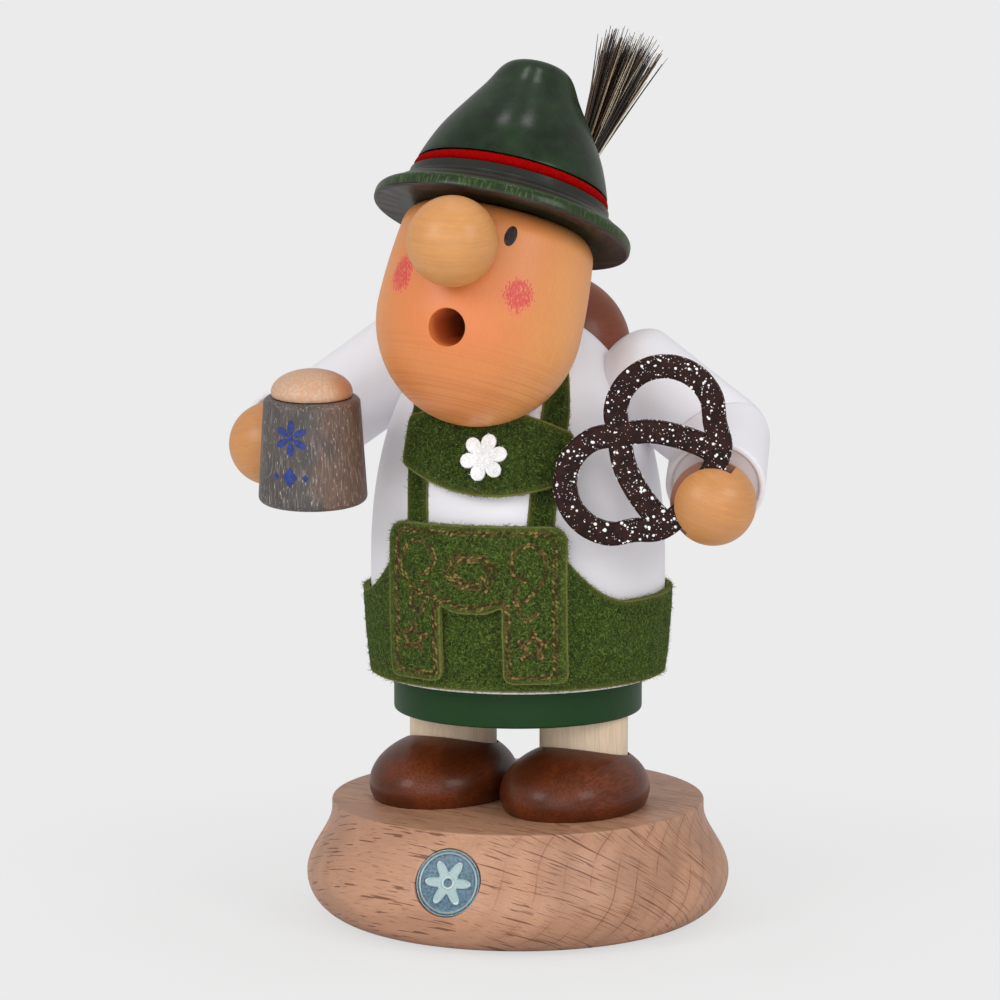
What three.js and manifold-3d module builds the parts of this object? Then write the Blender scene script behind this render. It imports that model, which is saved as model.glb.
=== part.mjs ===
// A turned wooden incense smoker: a stout man in felt trousers with a mug and a pretzel.
// Millimetres, Z up, the face looks along -Y. The origin is the centre of the base's underside.
// The lower figure carries an incense cone on a metal plate. The hollow upper figure lifts off it,
// and the smoke leaves through the neck tube, the head and the mouth.

import * as THREE from 'three';
import { mergeVertices } from 'three/addons/utils/BufferGeometryUtils.js';
import Module from 'manifold-3d';

const wasm = await Module();
wasm.setup();

// Clearances
const seatGap = 0.3;
const dowelGap = 0.3;
const feltGap = 0.25;

// Facets round a full turn
const wideFacets = 32;
const midFacets = 20;
const smallFacets = 12;
const torsoRings = 9;

// How far a surface may move when needless vertices are removed from it
const meshTolerance = 0.07;

// Base
const baseHeight = 22;
const baseTopRadius = 35.2;
const baseWidestRadius = 40;
const baseWidestHeight = 8;
const baseBottomRadius = 31.5;
const baseEdgeBand = 1.6;
const badgeRadius = 6;
const badgeThickness = 1;
const badgeHeight = 13.5;
const badgeTilt = 19;
const badgeRecessDepth = 1.6;
const badgeAzimuth = -1.2;

// Lower figure
const lowerTurn = -6.5;
const legRadius = 8.3;
const legSpacing = 27.2;
const legHeight = 17.1;
const legSocketDepth = 3.4;
const tenonRadius = 4;
const baseTenonDepth = 8;
const shortsTenonDepth = 8;
const shoeHalfLength = 17.4;
const shoeHalfWidth = 13.3;
const shoeHeight = 12;
const shoeSoleTuck = 0.9;
const shoeForward = 3.9;
const shortsRadius = 23.4;
const shortsHeight = 6.9;
const spigotHeight = 8;
const spigotClearance = 0.35;
const airHoleRadius = 3.2;
const airHoleOffset = 14.9;

// Ember plate, tack and incense cone
const plateRadius = 11;
const plateThickness = 0.8;
const plateRimHeight = 2.2;
const plateDimpleRadius = 4;
const plateDimpleDepth = 1.1;
const tackShankRadius = 0.6;
const tackHeadRadius = 2;
const tackHeadThickness = 0.7;
const tackLength = 6;
const coneRadius = 5.4;
const coneTipRadius = 1;
const coneHeight = 20;

// Torso, heights above its own bottom
const torsoHeight = 68.3;
const torsoBottomRadius = 26.2;
const torsoGirthRadius = 27.65;
const torsoGirthHeight = 20;
const torsoShoulderPower = 2.25;
const chamberRadius = 19.5;
const chamberStraight = 32;
const chamberDome = 22;

// Felt clothes, heights above the torso's bottom
const feltThickness = 1.2;
const barDrop = 24.1;
const barHeight = torsoHeight - barDrop;
const flapDrop = 13;
const feltTurn = 1.8;
const trouserHem = 0.8;
const trouserWaist = 16.5;
const trouserFrontRise = 10.5;
const trouserRiseAngle = 62;
const flapHalfWidth = 16.3;
const flapTop = barHeight - flapDrop;
const flapBottom = 2.5;
const flapLegInner = 5.6;
const flapDipHeight = 16.4;
const flapDipSag = 1.2;
const flapCornerRadius = 3.6;
const flapToeRadius = 2;
const strapWidth = 4.6;
const strapLowOffset = 11.7;
const strapHighOffset = 12.8;
const strapTopOffset = 9.3;
const strapLowHeight = flapTop - 0.2;
const strapHighDrop = 17.3;
const strapTopDrop = 4.3;
const barTurn = 4.5;
const barTilt = -5;
const barHalfLength = 15;
const barEndHalfHeight = 4.6;
const barSag = 3;
const barCornerRadius = 1.6;
const flowerRadius = 4.2;
const flowerPetals = 6;
const flowerThickness = 0.8;
const flowerShift = 0.7;
const flowerDrop = 0.8;
const flowerHeight = barHeight - flowerDrop;
const flowerSpin = 17;

// Head, in its own frame with Z along its axis from the middle of its round underside
const headRadius = 18.6;
const headBottomDepth = 19.3;
const headTopRadius = 17.7;
const headWallHeight = 13.6;
const headEdgeRadius = 5.2;
const headTiltBack = 15.4;
const headTiltSide = 8.6;
const headTurn = 1.6;
const headSideways = 0.7;
const neckDrop = 7.3;
const neckHeight = torsoHeight - neckDrop;
const headOverlap = 8.3;
const neckTubeRadius = 5;
const neckBoreRadius = 3.5;
const neckTubeLength = 18;
const mouthRadius = 3.4;
const mouthDrop = 15;
const mouthTurn = 1.7;
const noseRadius = 8;
const noseReach = 23.7;
const noseHeight = 9.4;
const noseTenonRadius = 2.2;
const noseTenonLength = 7;

// Hat: the rim's height is in the head's frame, the other heights are above the rim's underside
const rimHeight = 16.9;
const hatTiltBack = 5;
const hatTiltSide = -1.5;
const hatSink = 0.6;
const brimRadius = 23.8;
const brimThickness = 2.4;
const crownFootRadius = 18.4;
const crownFootHeight = 6.9;
const crownHeight = 31.8;
const crownShoulderRadius = 14.2;
const crownShoulderHeight = 17.3;
const crownTopRadius = 9.1;
const crownTopHeight = 25.2;
const hatTenonRadius = 5;
const hatTenonHeight = 6;
const cordRadius = 1;
const cordHeight = 8;
const cordRingRadius = 17;
const cordGap = 0.2;

// Tuft
const tuftAzimuth = 142;
const tuftHeight = 17.3;
const tuftLean = 10.3;
const tuftLength = 25;
const tuftPlugRadius = 2;
const tuftPlugLength = 7;
const tuftPlugProud = 1;
const tuftSliceThickness = 1;
const tuftSpread = 5.4;
const hairCount = 300;
const hairThickness = 0.06;

// Arms: the shoulder's drop is below the torso's top, the offsets are from the shoulder to the
// elbow and from the elbow to the hand
const sleeveRadius = 9;
const shoulderCap = 6.3;
const handRadius = 7.7;
const cuffToHand = 6.5;
const cuffChamfer = 0.6;
const shoulderDowelDrop = 3;
const armDowelRadius = 2.2;
const armDowelLength = 13;
const wristDowelRadius = 2;
const wristDowelLength = 12;
const leftArm = {
  side: 1,
  shoulderDrop: 11.4,
  standOff: 2.7,
  back: 2.1,
  elbow: new THREE.Vector3(16, 2.2, -12.3),
  hand: new THREE.Vector3(5, -23.6, -8.7),
};
const rightArm = {
  side: -1,
  shoulderDrop: 9,
  standOff: 4,
  back: 1.9,
  elbow: new THREE.Vector3(-17.3, 1.9, -11.8),
  hand: new THREE.Vector3(-2, -25.4, -3.7),
};

// Mug and its foam
const mugTopRadius = 8.8;
const mugBottomRadius = 9.9;
const mugHeight = 19.4;
const mugEdgeRadius = 1.2;
const mugLean = 6;
const mugTurn = 51;
const mugSpin = 18.5;
const mugReach = 16;
const mugDrop = 9;
const foamRadius = 7.4;
const foamHeight = 4.8;
const foamTenonRadius = 3;
const foamTenonLength = 6;
const mugDowelRadius = 1.5;
const mugDowelLength = 10;

// Pretzel, in its own plane: along is its symmetry axis from the crossing towards the hand
const pretzelWidth = 4.2;
const pretzelThickness = 3;
const pretzelLobeRadius = 8.9;
const pretzelLobeAlong = 5.05;
const pretzelLobeAcross = 7.65;
const pretzelReach = 18.2;
const pretzelGap = 0.9;
const pretzelSlope = -36;
const pretzelProud = 2.2;
const slotSideGap = 0.2;

// Rucksack
const rucksackDrop = 9.4;
const rucksackHeight = torsoHeight - rucksackDrop;
const rucksackStandOff = 4;
const rucksackRadius = 15;
const rucksackDepth = 12;
const rucksackDowelRadius = 2.2;
const rucksackDowelLength = 14;

const degrees = Math.PI / 180;
const torsoBottom = baseHeight + legHeight + shortsHeight;

// A standard material from a colour, a roughness and a metalness
function finish(color, roughness = 0.6, metalness = 0) {
  return new THREE.MeshStandardMaterial({ color, roughness, metalness });
}

const materials = {
  beech: () => finish(0xcda07d, 0.55),
  limewood: () => finish(0xd6beA0, 0.6),
  skin: () => finish(0xde965c, 0.45),
  noseWood: () => finish(0xe2aa68, 0.45),
  brownStain: () => finish(0x6e341a, 0.4),
  greenPaint: () => finish(0x28522c, 0.4),
  hatPaint: () => finish(0x2d4230, 0.4),
  whitePaint: () => finish(0xeceaee, 0.5),
  felt: () => finish(0x3e541e, 0.95),
  feltWhite: () => finish(0xf2f2f0, 0.95),
  redCord: () => finish(0xc80a0a, 0.8),
  hair: () => finish(0x2a221c, 0.6),
  mugWood: () => finish(0x70645a, 0.6),
  foamWood: () => finish(0xe1b487, 0.6),
  pretzelWood: () => finish(0x3a201a, 0.5),
  badgeMetal: () => finish(0x2f5560, 0.35, 0.6),
  plateMetal: () => finish(0xb59a55, 0.4, 0.9),
  steel: () => finish(0x9a9a9c, 0.35, 0.9),
  incense: () => finish(0x3c2a22, 0.95),
};

// The closed solid of a geometry, with its shared vertices merged
function solidOf(geometry) {
  const plain = geometry.clone();
  plain.deleteAttribute('normal');
  plain.deleteAttribute('uv');
  const merged = mergeVertices(plain, 1e-4);
  const index = merged.index.array;
  const faces = [];
  for (let i = 0; i < index.length; i += 3) {
    const [a, b, c] = [index[i], index[i + 1], index[i + 2]];
    if (a !== b && b !== c && c !== a) faces.push(a, b, c);
  }
  return new wasm.Manifold(new wasm.Mesh({
    numProp: 3,
    vertProperties: merged.attributes.position.array,
    triVerts: new Uint32Array(faces),
  }));
}

// The geometry of a solid
function geometryOf(solid) {
  const { vertProperties, triVerts } = solid.simplify(meshTolerance).getMesh();
  const geometry = new THREE.BufferGeometry();
  geometry.setAttribute('position', new THREE.BufferAttribute(new Float32Array(vertProperties), 3));
  geometry.setIndex(new THREE.BufferAttribute(new Uint32Array(triVerts), 1));
  geometry.computeVertexNormals();
  return geometry;
}

// A named mesh of a solid
function piece(name, solid, material) {
  const mesh = new THREE.Mesh(geometryOf(solid), material());
  mesh.name = name;
  return mesh;
}

// A copy of a solid moved by a matrix
function moved(solid, matrix) {
  return solid.transform(matrix.elements);
}

// The matrix that places something at a point, turned by degrees about X, then Y, then Z
function placement(point, [x, y, z] = [0, 0, 0], order = 'XYZ') {
  const euler = new THREE.Euler(x * degrees, y * degrees, z * degrees, order);
  const turn = new THREE.Quaternion().setFromEuler(euler);
  return new THREE.Matrix4().compose(point, turn, new THREE.Vector3(1, 1, 1));
}

// A turned solid round Z from a profile of [radius, height] that runs upwards on its outside
function turned(profile, facets) {
  const points = profile.map(([radius, height]) => new THREE.Vector2(radius, height));
  return solidOf(new THREE.LatheGeometry(points, facets).rotateX(Math.PI / 2));
}

// A round rod between two points
function rod(from, to, radius, facets = smallFacets, endRadius = radius) {
  const along = new THREE.Vector3().subVectors(to, from);
  const geometry = new THREE.CylinderGeometry(endRadius, radius, along.length(), facets);
  const turn = new THREE.Quaternion().setFromUnitVectors(
    new THREE.Vector3(0, 1, 0), along.clone().normalize());
  geometry.applyQuaternion(turn);
  geometry.translate(...from.clone().addScaledVector(along, 0.5).toArray());
  return solidOf(geometry);
}

// A turned solid whose profile heights run from one point towards another
function turnedAlong(from, to, profile, facets = midFacets) {
  const along = new THREE.Vector3().subVectors(to, from).normalize();
  const turn = new THREE.Quaternion().setFromUnitVectors(new THREE.Vector3(0, 0, 1), along);
  return moved(turned(profile, facets), new THREE.Matrix4().compose(
    from, turn, new THREE.Vector3(1, 1, 1)));
}

// Points of a domed end below zero height, from the axis out to the side
function domedFoot(radius, depth, steps) {
  const points = [[0, -depth]];
  for (let i = 1; i <= steps; i += 1) {
    const angle = (i / steps) * (Math.PI / 2);
    points.push([radius * Math.sin(angle), -depth * Math.cos(angle)]);
  }
  return points;
}

// A ball
function ball(centre, radius, facets = midFacets) {
  const geometry = new THREE.SphereGeometry(radius, facets, facets / 2);
  return solidOf(geometry.rotateX(Math.PI / 2).translate(...centre.toArray()));
}

// Everything on the far side of a plane
function halfSpaceBeyond(point, normal) {
  const size = 120;
  const box = new THREE.BoxGeometry(size, size, size).translate(0, 0, size / 2);
  const turn = new THREE.Quaternion().setFromUnitVectors(new THREE.Vector3(0, 0, 1), normal);
  return solidOf(box.applyQuaternion(turn).translate(...point.toArray()));
}

// A solid that covers everything between two depths behind an outline drawn in the front view
function frontPrism(shape, nearY, farY, curveSegments = 8) {
  const geometry = new THREE.ExtrudeGeometry(
    shape, { depth: farY - nearY, bevelEnabled: false, curveSegments });
  return solidOf(geometry.rotateX(Math.PI / 2).translate(0, farY, 0));
}

// An outline through corners [x, z, radius], each rounded by its radius
function roundedOutline(corners) {
  const shape = new THREE.Shape();
  const at = corners.map(([x, z]) => new THREE.Vector2(x, z));
  corners.forEach(([, , radius = 0], i) => {
    const corner = at[i];
    const before = at[(i + at.length - 1) % at.length];
    const after = at[(i + 1) % at.length];
    const start = corner.clone().addScaledVector(before.clone().sub(corner).normalize(), radius);
    const end = corner.clone().addScaledVector(after.clone().sub(corner).normalize(), radius);
    if (i === 0) shape.moveTo(start.x, start.y);
    else shape.lineTo(start.x, start.y);
    if (radius > 0) shape.quadraticCurveTo(corner.x, corner.y, end.x, end.y);
  });
  shape.closePath();
  return shape;
}

// Points along a quarter of an ellipse from its side to its top, with the last one left out if asked
function quarterRound(radius, foot, rise, steps, closed = true) {
  const points = [];
  const last = closed ? steps : steps - 1;
  for (let i = 0; i <= last; i += 1) {
    const angle = (i / steps) * (Math.PI / 2);
    points.push([radius * Math.cos(angle), foot + rise * Math.sin(angle)]);
  }
  return points;
}

// Radius of the torso's outside at a height above its bottom: swelling to its girth, then a
// superellipse over the shoulders
function torsoRadiusAt(height, offset = 0) {
  if (height <= torsoGirthHeight) {
    const share = (torsoGirthHeight - height) / torsoGirthHeight;
    return torsoGirthRadius - (torsoGirthRadius - torsoBottomRadius) * share ** 2 + offset;
  }
  const top = torsoHeight + offset;
  const share = Math.min(1, (height - torsoGirthHeight) / (top - torsoGirthHeight));
  const side = (1 - share ** torsoShoulderPower) ** (1 / torsoShoulderPower);
  return (torsoGirthRadius + offset) * side;
}

// Profile of the torso's outside from one height to another, grown by an offset
function torsoProfile(fromHeight, toHeight, offset, steps) {
  const points = [];
  for (let i = 0; i <= steps; i += 1) {
    const height = fromHeight + (toHeight - fromHeight) * Math.sin((i / steps) * (Math.PI / 2));
    points.push([torsoRadiusAt(height, offset), height]);
  }
  return points;
}

// Everything inside the torso's outside surface, grown by an offset
function torsoSpace(offset) {
  const steps = torsoRings;
  const profile = torsoProfile(0, torsoHeight + offset, offset, steps);
  profile[steps][0] = 0;
  return turned([[0, 0], ...profile], wideFacets);
}

// A layer of felt on the torso between two offsets from its surface
function feltLayer(inner, thickness, fromHeight, toHeight, steps) {
  const outside = torsoProfile(fromHeight, toHeight, inner + thickness, steps);
  const inside = torsoProfile(fromHeight, toHeight, inner, steps).reverse();
  return turned([...outside, ...inside, outside[0]], wideFacets);
}

// Base with its leg sockets and the badge's recess
const legPlaces = [-1, 1].map((side) => new THREE.Vector3(side * legSpacing / 2, 0, 0));
const lowerPlacement = placement(new THREE.Vector3(0, 0, baseHeight), [0, 0, lowerTurn]);

// Radius of the base at a height: an S from the top edge to the widest line, then a quarter round
function baseRadiusAt(height) {
  if (height >= baseHeight - baseEdgeBand) return baseTopRadius;
  if (height >= baseWidestHeight) {
    const share = (height - baseWidestHeight) / (baseHeight - baseEdgeBand - baseWidestHeight);
    const ease = (1 + Math.cos(share * Math.PI)) / 2;
    return baseTopRadius + (baseWidestRadius - baseTopRadius) * ease;
  }
  const share = (baseWidestHeight - height) / baseWidestHeight;
  return baseBottomRadius + (baseWidestRadius - baseBottomRadius) * Math.sqrt(1 - share ** 2);
}

function badgePlacement(sink) {
  const azimuth = badgeAzimuth * degrees;
  const outward = new THREE.Vector3(Math.sin(azimuth), -Math.cos(azimuth), 0);
  const point = outward.clone().multiplyScalar(baseRadiusAt(badgeHeight)).setZ(badgeHeight);
  const turn = placement(new THREE.Vector3(), [90 - badgeTilt, 0, badgeAzimuth], 'ZYX');
  const normal = new THREE.Vector3(0, 0, 1).applyMatrix4(turn);
  return turn.setPosition(point.addScaledVector(normal, -sink));
}

function makeBase() {
  const side = [];
  const steps = 8;
  for (let i = 0; i <= steps; i += 1) {
    const share = i / steps;
    const height = (baseHeight - baseEdgeBand) * (share + share ** 2) / 2;
    side.push([baseRadiusAt(height), height]);
  }
  const profile = [
    [0, 0], ...side,
    [baseTopRadius, baseHeight - 0.4], [baseTopRadius - 0.4, baseHeight], [0, baseHeight]];
  let solid = turned(profile, wideFacets + 8);
  for (const place of legPlaces) {
    const top = place.clone().applyMatrix4(lowerPlacement).setZ(baseHeight + 1);
    const bottom = top.clone().setZ(baseHeight - baseTenonDepth - seatGap);
    solid = solid.subtract(rod(bottom, top, tenonRadius + dowelGap));
  }
  const recess = rod(
    new THREE.Vector3(), new THREE.Vector3(0, 0, badgeRadius * 2), badgeRadius + dowelGap,
    midFacets);
  return solid.subtract(moved(recess, badgePlacement(badgeRecessDepth)));
}

function makeBadge() {
  const disc = turned([
    [0, 0], [badgeRadius, 0], [badgeRadius, badgeThickness * 0.7],
    [badgeRadius * 0.95, badgeThickness], [0, badgeThickness]], midFacets);
  return moved(disc, badgePlacement(badgeRecessDepth - seatGap));
}

// Legs: a thick dowel with a thin tenon at each end, from its shoulder in the shoe to the shorts
function makeLeg() {
  return turned([
    [0, -baseTenonDepth],
    [tenonRadius, -baseTenonDepth],
    [tenonRadius, legSocketDepth],
    [legRadius, legSocketDepth],
    [legRadius, legHeight - seatGap],
    [tenonRadius, legHeight - seatGap],
    [tenonRadius, legHeight + shortsTenonDepth],
    [0, legHeight + shortsTenonDepth]], midFacets);
}

// Shoes: an egg-shaped dome with a stepped bore for the leg
function makeShoe() {
  const dome = [[0, 0]];
  const steps = 7;
  for (let i = 0; i <= steps; i += 1) {
    const angle = (-0.32 + (i / steps) * 1.32) * (Math.PI / 2);
    const reach = angle < 0 ? 1 - shoeSoleTuck / shoeHalfWidth * (1 - Math.cos(angle * 3)) : Math.cos(angle);
    dome.push([reach, Math.max(0, 0.24 + 0.76 * Math.sin(angle) / (angle < 0 ? 1.55 : 1))]);
  }
  dome[1][1] = 0;
  dome[dome.length - 1] = [0, 1];
  const points = dome.map(([radius, height]) => new THREE.Vector2(radius, height));
  const geometry = new THREE.LatheGeometry(points, midFacets + 4).rotateX(Math.PI / 2);
  geometry.scale(shoeHalfWidth, shoeHalfLength, shoeHeight);
  geometry.translate(0, -shoeForward, 0);
  const bore = rod(
    new THREE.Vector3(0, 0, legSocketDepth - seatGap),
    new THREE.Vector3(0, 0, shoeHeight + 5), legRadius + dowelGap, midFacets);
  const through = rod(
    new THREE.Vector3(0, 0, -1), new THREE.Vector3(0, 0, shoeHeight), tenonRadius + dowelGap);
  return solidOf(geometry).subtract(bore).subtract(through);
}

// Shorts: a turned block with the spigot on top, the leg sockets below and the air hole through it
const spigotRadius = chamberRadius - spigotClearance;

function makeShorts() {
  const chamfer = 0.5;
  let solid = turned([
    [0, 0], [shortsRadius - chamfer, 0], [shortsRadius, chamfer],
    [shortsRadius, shortsHeight - seatGap], [spigotRadius, shortsHeight - seatGap],
    [spigotRadius, shortsHeight + spigotHeight - chamfer],
    [spigotRadius - chamfer, shortsHeight + spigotHeight],
    [0, shortsHeight + spigotHeight]], wideFacets);
  for (const place of legPlaces) {
    const bottom = place.clone().setZ(-1);
    const top = place.clone().setZ(shortsTenonDepth + seatGap);
    solid = solid.subtract(rod(bottom, top, tenonRadius + dowelGap));
  }
  const airBottom = new THREE.Vector3(0, airHoleOffset, -1);
  const airTop = airBottom.clone().setZ(shortsHeight + spigotHeight + 1);
  solid = solid.subtract(rod(airBottom, airTop, airHoleRadius));
  const tackTop = new THREE.Vector3(0, 0, shortsHeight + spigotHeight + 1);
  const tackFoot = tackTop.clone().setZ(shortsHeight + spigotHeight - tackLength - seatGap);
  solid = solid.subtract(rod(tackFoot, tackTop, tackShankRadius + dowelGap));
  const dimpleFoot = tackTop.clone().setZ(shortsHeight + spigotHeight - plateDimpleDepth);
  return solid.subtract(rod(dimpleFoot, tackTop, plateDimpleRadius + dowelGap, midFacets));
}

// Ember plate: a dished disc with a raised rim and a dimple for the tack's head. Its underside
// outside the dimple is at zero
function makePlate() {
  const sheet = plateThickness;
  const profile = [
    [tackShankRadius + dowelGap, -plateDimpleDepth + seatGap],
    [plateDimpleRadius, -plateDimpleDepth + seatGap],
    [plateDimpleRadius, 0],
    [plateRadius - sheet, 0],
    [plateRadius, sheet],
    [plateRadius, plateRimHeight],
    [plateRadius - sheet, plateRimHeight],
    [plateRadius - sheet - 0.4, sheet],
    [plateDimpleRadius - sheet * 0.6, sheet],
    [plateDimpleRadius - sheet * 0.6, sheet - plateDimpleDepth + seatGap],
    [tackShankRadius + dowelGap, sheet - plateDimpleDepth + seatGap]];
  return turned([...profile, profile[0]], midFacets);
}

function makeTack() {
  const headFoot = plateThickness - plateDimpleDepth + seatGap + 0.1;
  return turned([
    [0, -tackLength], [tackShankRadius, -tackLength + 1],
    [tackShankRadius, headFoot], [tackHeadRadius, headFoot],
    [tackHeadRadius * 0.7, headFoot + tackHeadThickness],
    [0, headFoot + tackHeadThickness]], smallFacets);
}

function makeCone() {
  return turned([
    [0, 0], [coneRadius, 0], [coneTipRadius, coneHeight - 0.5],
    [coneTipRadius * 0.5, coneHeight], [0, coneHeight]], 24);
}

// Head frame and the neck, in the torso's frame
function torsoSurface(height) {
  const step = 0.5;
  const radius = torsoRadiusAt(height);
  const slope = (torsoRadiusAt(height + step) - torsoRadiusAt(height - step)) / (2 * step);
  const outward = new THREE.Vector3(0, -1, -slope).normalize();
  return { point: new THREE.Vector3(0, -radius, height), outward };
}

const neck = torsoSurface(neckHeight);
const headCentre = neck.point.clone()
  .addScaledVector(neck.outward, headRadius - headOverlap).setX(headSideways);
const headPlacement = placement(headCentre, [-headTiltBack, headTiltSide, headTurn]);
const neckAxis = headCentre.clone().sub(neck.point).normalize();
const tubeTop = headCentre.clone().addScaledVector(neckAxis, -neckTubeRadius);
const tubeFoot = tubeTop.clone().addScaledVector(neckAxis, -neckTubeLength);

function makeNeckTube() {
  const inner = rod(
    tubeFoot.clone().addScaledVector(neckAxis, -1), tubeTop.clone().addScaledVector(neckAxis, 1),
    neckBoreRadius);
  return rod(tubeFoot, tubeTop, neckTubeRadius, 24).subtract(inner);
}

const neckSocket = rod(
  tubeFoot.clone().addScaledVector(neckAxis, -12), tubeTop.clone().addScaledVector(neckAxis, seatGap),
  neckTubeRadius + dowelGap, 24);

const hatPlacement = placement(
  new THREE.Vector3(0, 0, rimHeight), [-hatTiltBack, hatTiltSide, 0]);

// Outside of the head from its underside up to its rounded top edge, grown by an offset
function headProfile(grow) {
  const bottom = domedFoot(headRadius + grow, headBottomDepth + grow, 7);
  const wall = [0.5, 1].map((share) => [
    headRadius - (headRadius - headTopRadius) * share ** 2 + grow, headWallHeight * share]);
  const edge = [0.25, 0.5, 0.75, 1].map((share) => {
    const angle = share * (Math.PI / 2);
    const inner = headTopRadius - headEdgeRadius;
    const radius = headEdgeRadius + grow;
    return [inner + radius * Math.cos(angle), headWallHeight + radius * Math.sin(angle)];
  });
  return [...bottom, ...wall, ...edge, [0, headWallHeight + headEdgeRadius + grow]];
}

// Head: a round-bottomed barrel with a tenon for the hat, hollowed where it sits on the shoulders
function makeHead() {
  const seat = new THREE.Vector3(0, 0, hatSink);
  const tenon = rod(
    seat.clone().setZ(hatSink - 2), seat.clone().setZ(hatSink + hatTenonHeight), hatTenonRadius);
  let solid = turned(headProfile(0), wideFacets)
    .subtract(moved(halfSpaceBeyond(seat, new THREE.Vector3(0, 0, 1)), hatPlacement))
    .add(moved(tenon, hatPlacement));
  const mouthAxis = new THREE.Vector3(0, -1, 0)
    .applyEuler(new THREE.Euler(mouthDrop * degrees, 0, mouthTurn * degrees, 'ZXY'));
  const origin = new THREE.Vector3();
  const outside = mouthAxis.clone().multiplyScalar(headRadius * 1.3);
  const lip = mouthAxis.clone().multiplyScalar(headRadius - mouthRadius * 0.15);
  solid = solid.subtract(rod(origin.clone().addScaledVector(mouthAxis, -2), outside, mouthRadius, 24));
  solid = solid.subtract(rod(lip, outside, mouthRadius - 0.5, 24, mouthRadius * 2.2));
  const noseCentre = new THREE.Vector3(0, -noseReach, noseHeight);
  solid = solid.subtract(ball(noseCentre, noseRadius + seatGap, 24));
  const tenonEnd = noseCentre.clone().add(
    new THREE.Vector3(0, noseRadius + noseTenonLength + seatGap, 0));
  solid = solid.subtract(rod(noseCentre, tenonEnd, noseTenonRadius + dowelGap));
  const toHead = headPlacement.clone().invert();
  solid = solid.subtract(moved(neckSocket, toHead));
  const smokeway = rod(tubeTop.clone().addScaledVector(neckAxis, -1), headCentre, neckBoreRadius);
  solid = solid.subtract(moved(smokeway, toHead));
  return solid.subtract(moved(torsoSpace(seatGap), toHead));
}

function makeNose() {
  const centre = new THREE.Vector3(0, -noseReach, noseHeight);
  const end = centre.clone().add(new THREE.Vector3(0, noseRadius + noseTenonLength, 0));
  return ball(centre, noseRadius, 24).add(rod(centre, end, noseTenonRadius));
}

// Hat, hollowed for the head's tenon, with a groove for the cord
const crownCurve = new THREE.SplineCurve([
  new THREE.Vector2(crownFootRadius, crownFootHeight),
  new THREE.Vector2((crownFootRadius + crownShoulderRadius) / 2 + 0.2,
    (crownFootHeight + crownShoulderHeight) / 2 + 0.4),
  new THREE.Vector2(crownShoulderRadius, crownShoulderHeight),
  new THREE.Vector2(crownTopRadius, crownTopHeight),
  new THREE.Vector2(crownTopRadius * 0.63, crownHeight - 1.4),
  new THREE.Vector2(0, crownHeight)]);

function makeCord() {
  const geometry = new THREE.TorusGeometry(cordRingRadius, cordRadius, 6, wideFacets);
  return solidOf(geometry.translate(0, 0, cordHeight));
}

function makeHat() {
  const under = hatSink + seatGap;
  const grooveHalf = cordRadius + cordGap;
  const crown = crownCurve.getPoints(14)
    .map((point) => [point.x, point.y])
    .filter(([, height]) => Math.abs(height - cordHeight) > grooveHalf + 0.3);
  crown[crown.length - 1][0] = 0;
  const above = crown.findIndex(([, height]) => height > cordHeight);
  crown.splice(
    above, 0,
    [cordRingRadius, cordHeight - grooveHalf],
    [cordRingRadius - grooveHalf, cordHeight - grooveHalf / 2],
    [cordRingRadius - grooveHalf, cordHeight + grooveHalf / 2],
    [cordRingRadius, cordHeight + grooveHalf]);
  const socketTop = hatSink + hatTenonHeight + seatGap;
  const profile = [
    [0, socketTop], [hatTenonRadius + dowelGap, socketTop], [hatTenonRadius + dowelGap, under],
    [headTopRadius, under],
    [brimRadius - 0.8, 0], [brimRadius, 0.8],
    [brimRadius - 0.4, brimThickness],
    [(brimRadius + crownFootRadius) / 2, brimThickness + 1.4],
    [crownFootRadius + 0.9, crownFootHeight - 1.9],
    ...crown];
  return turned(profile, wideFacets);
}

// Tuft frame: on the crown's side, leaning outwards from the hat's axis
function crownRadiusAt(height) {
  const samples = crownCurve.getPoints(64);
  const above = samples.findIndex((point) => point.y >= height);
  return samples[above].x;
}

const tuftRoot = new THREE.Vector3(
  Math.sin(tuftAzimuth * degrees), -Math.cos(tuftAzimuth * degrees), 0)
  .multiplyScalar(crownRadiusAt(tuftHeight)).setZ(tuftHeight);
const tuftAxisTurn = new THREE.Quaternion().setFromAxisAngle(
  new THREE.Vector3(tuftRoot.y, -tuftRoot.x, 0).normalize(), -tuftLean * degrees);
const tuftPlacement = new THREE.Matrix4().compose(
  tuftRoot, tuftAxisTurn, new THREE.Vector3(1, 1, 1));

function plugRod(grow) {
  return rod(
    new THREE.Vector3(0, 0, -tuftPlugLength - grow), new THREE.Vector3(0, 0, tuftPlugProud),
    tuftPlugRadius + grow);
}

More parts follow.
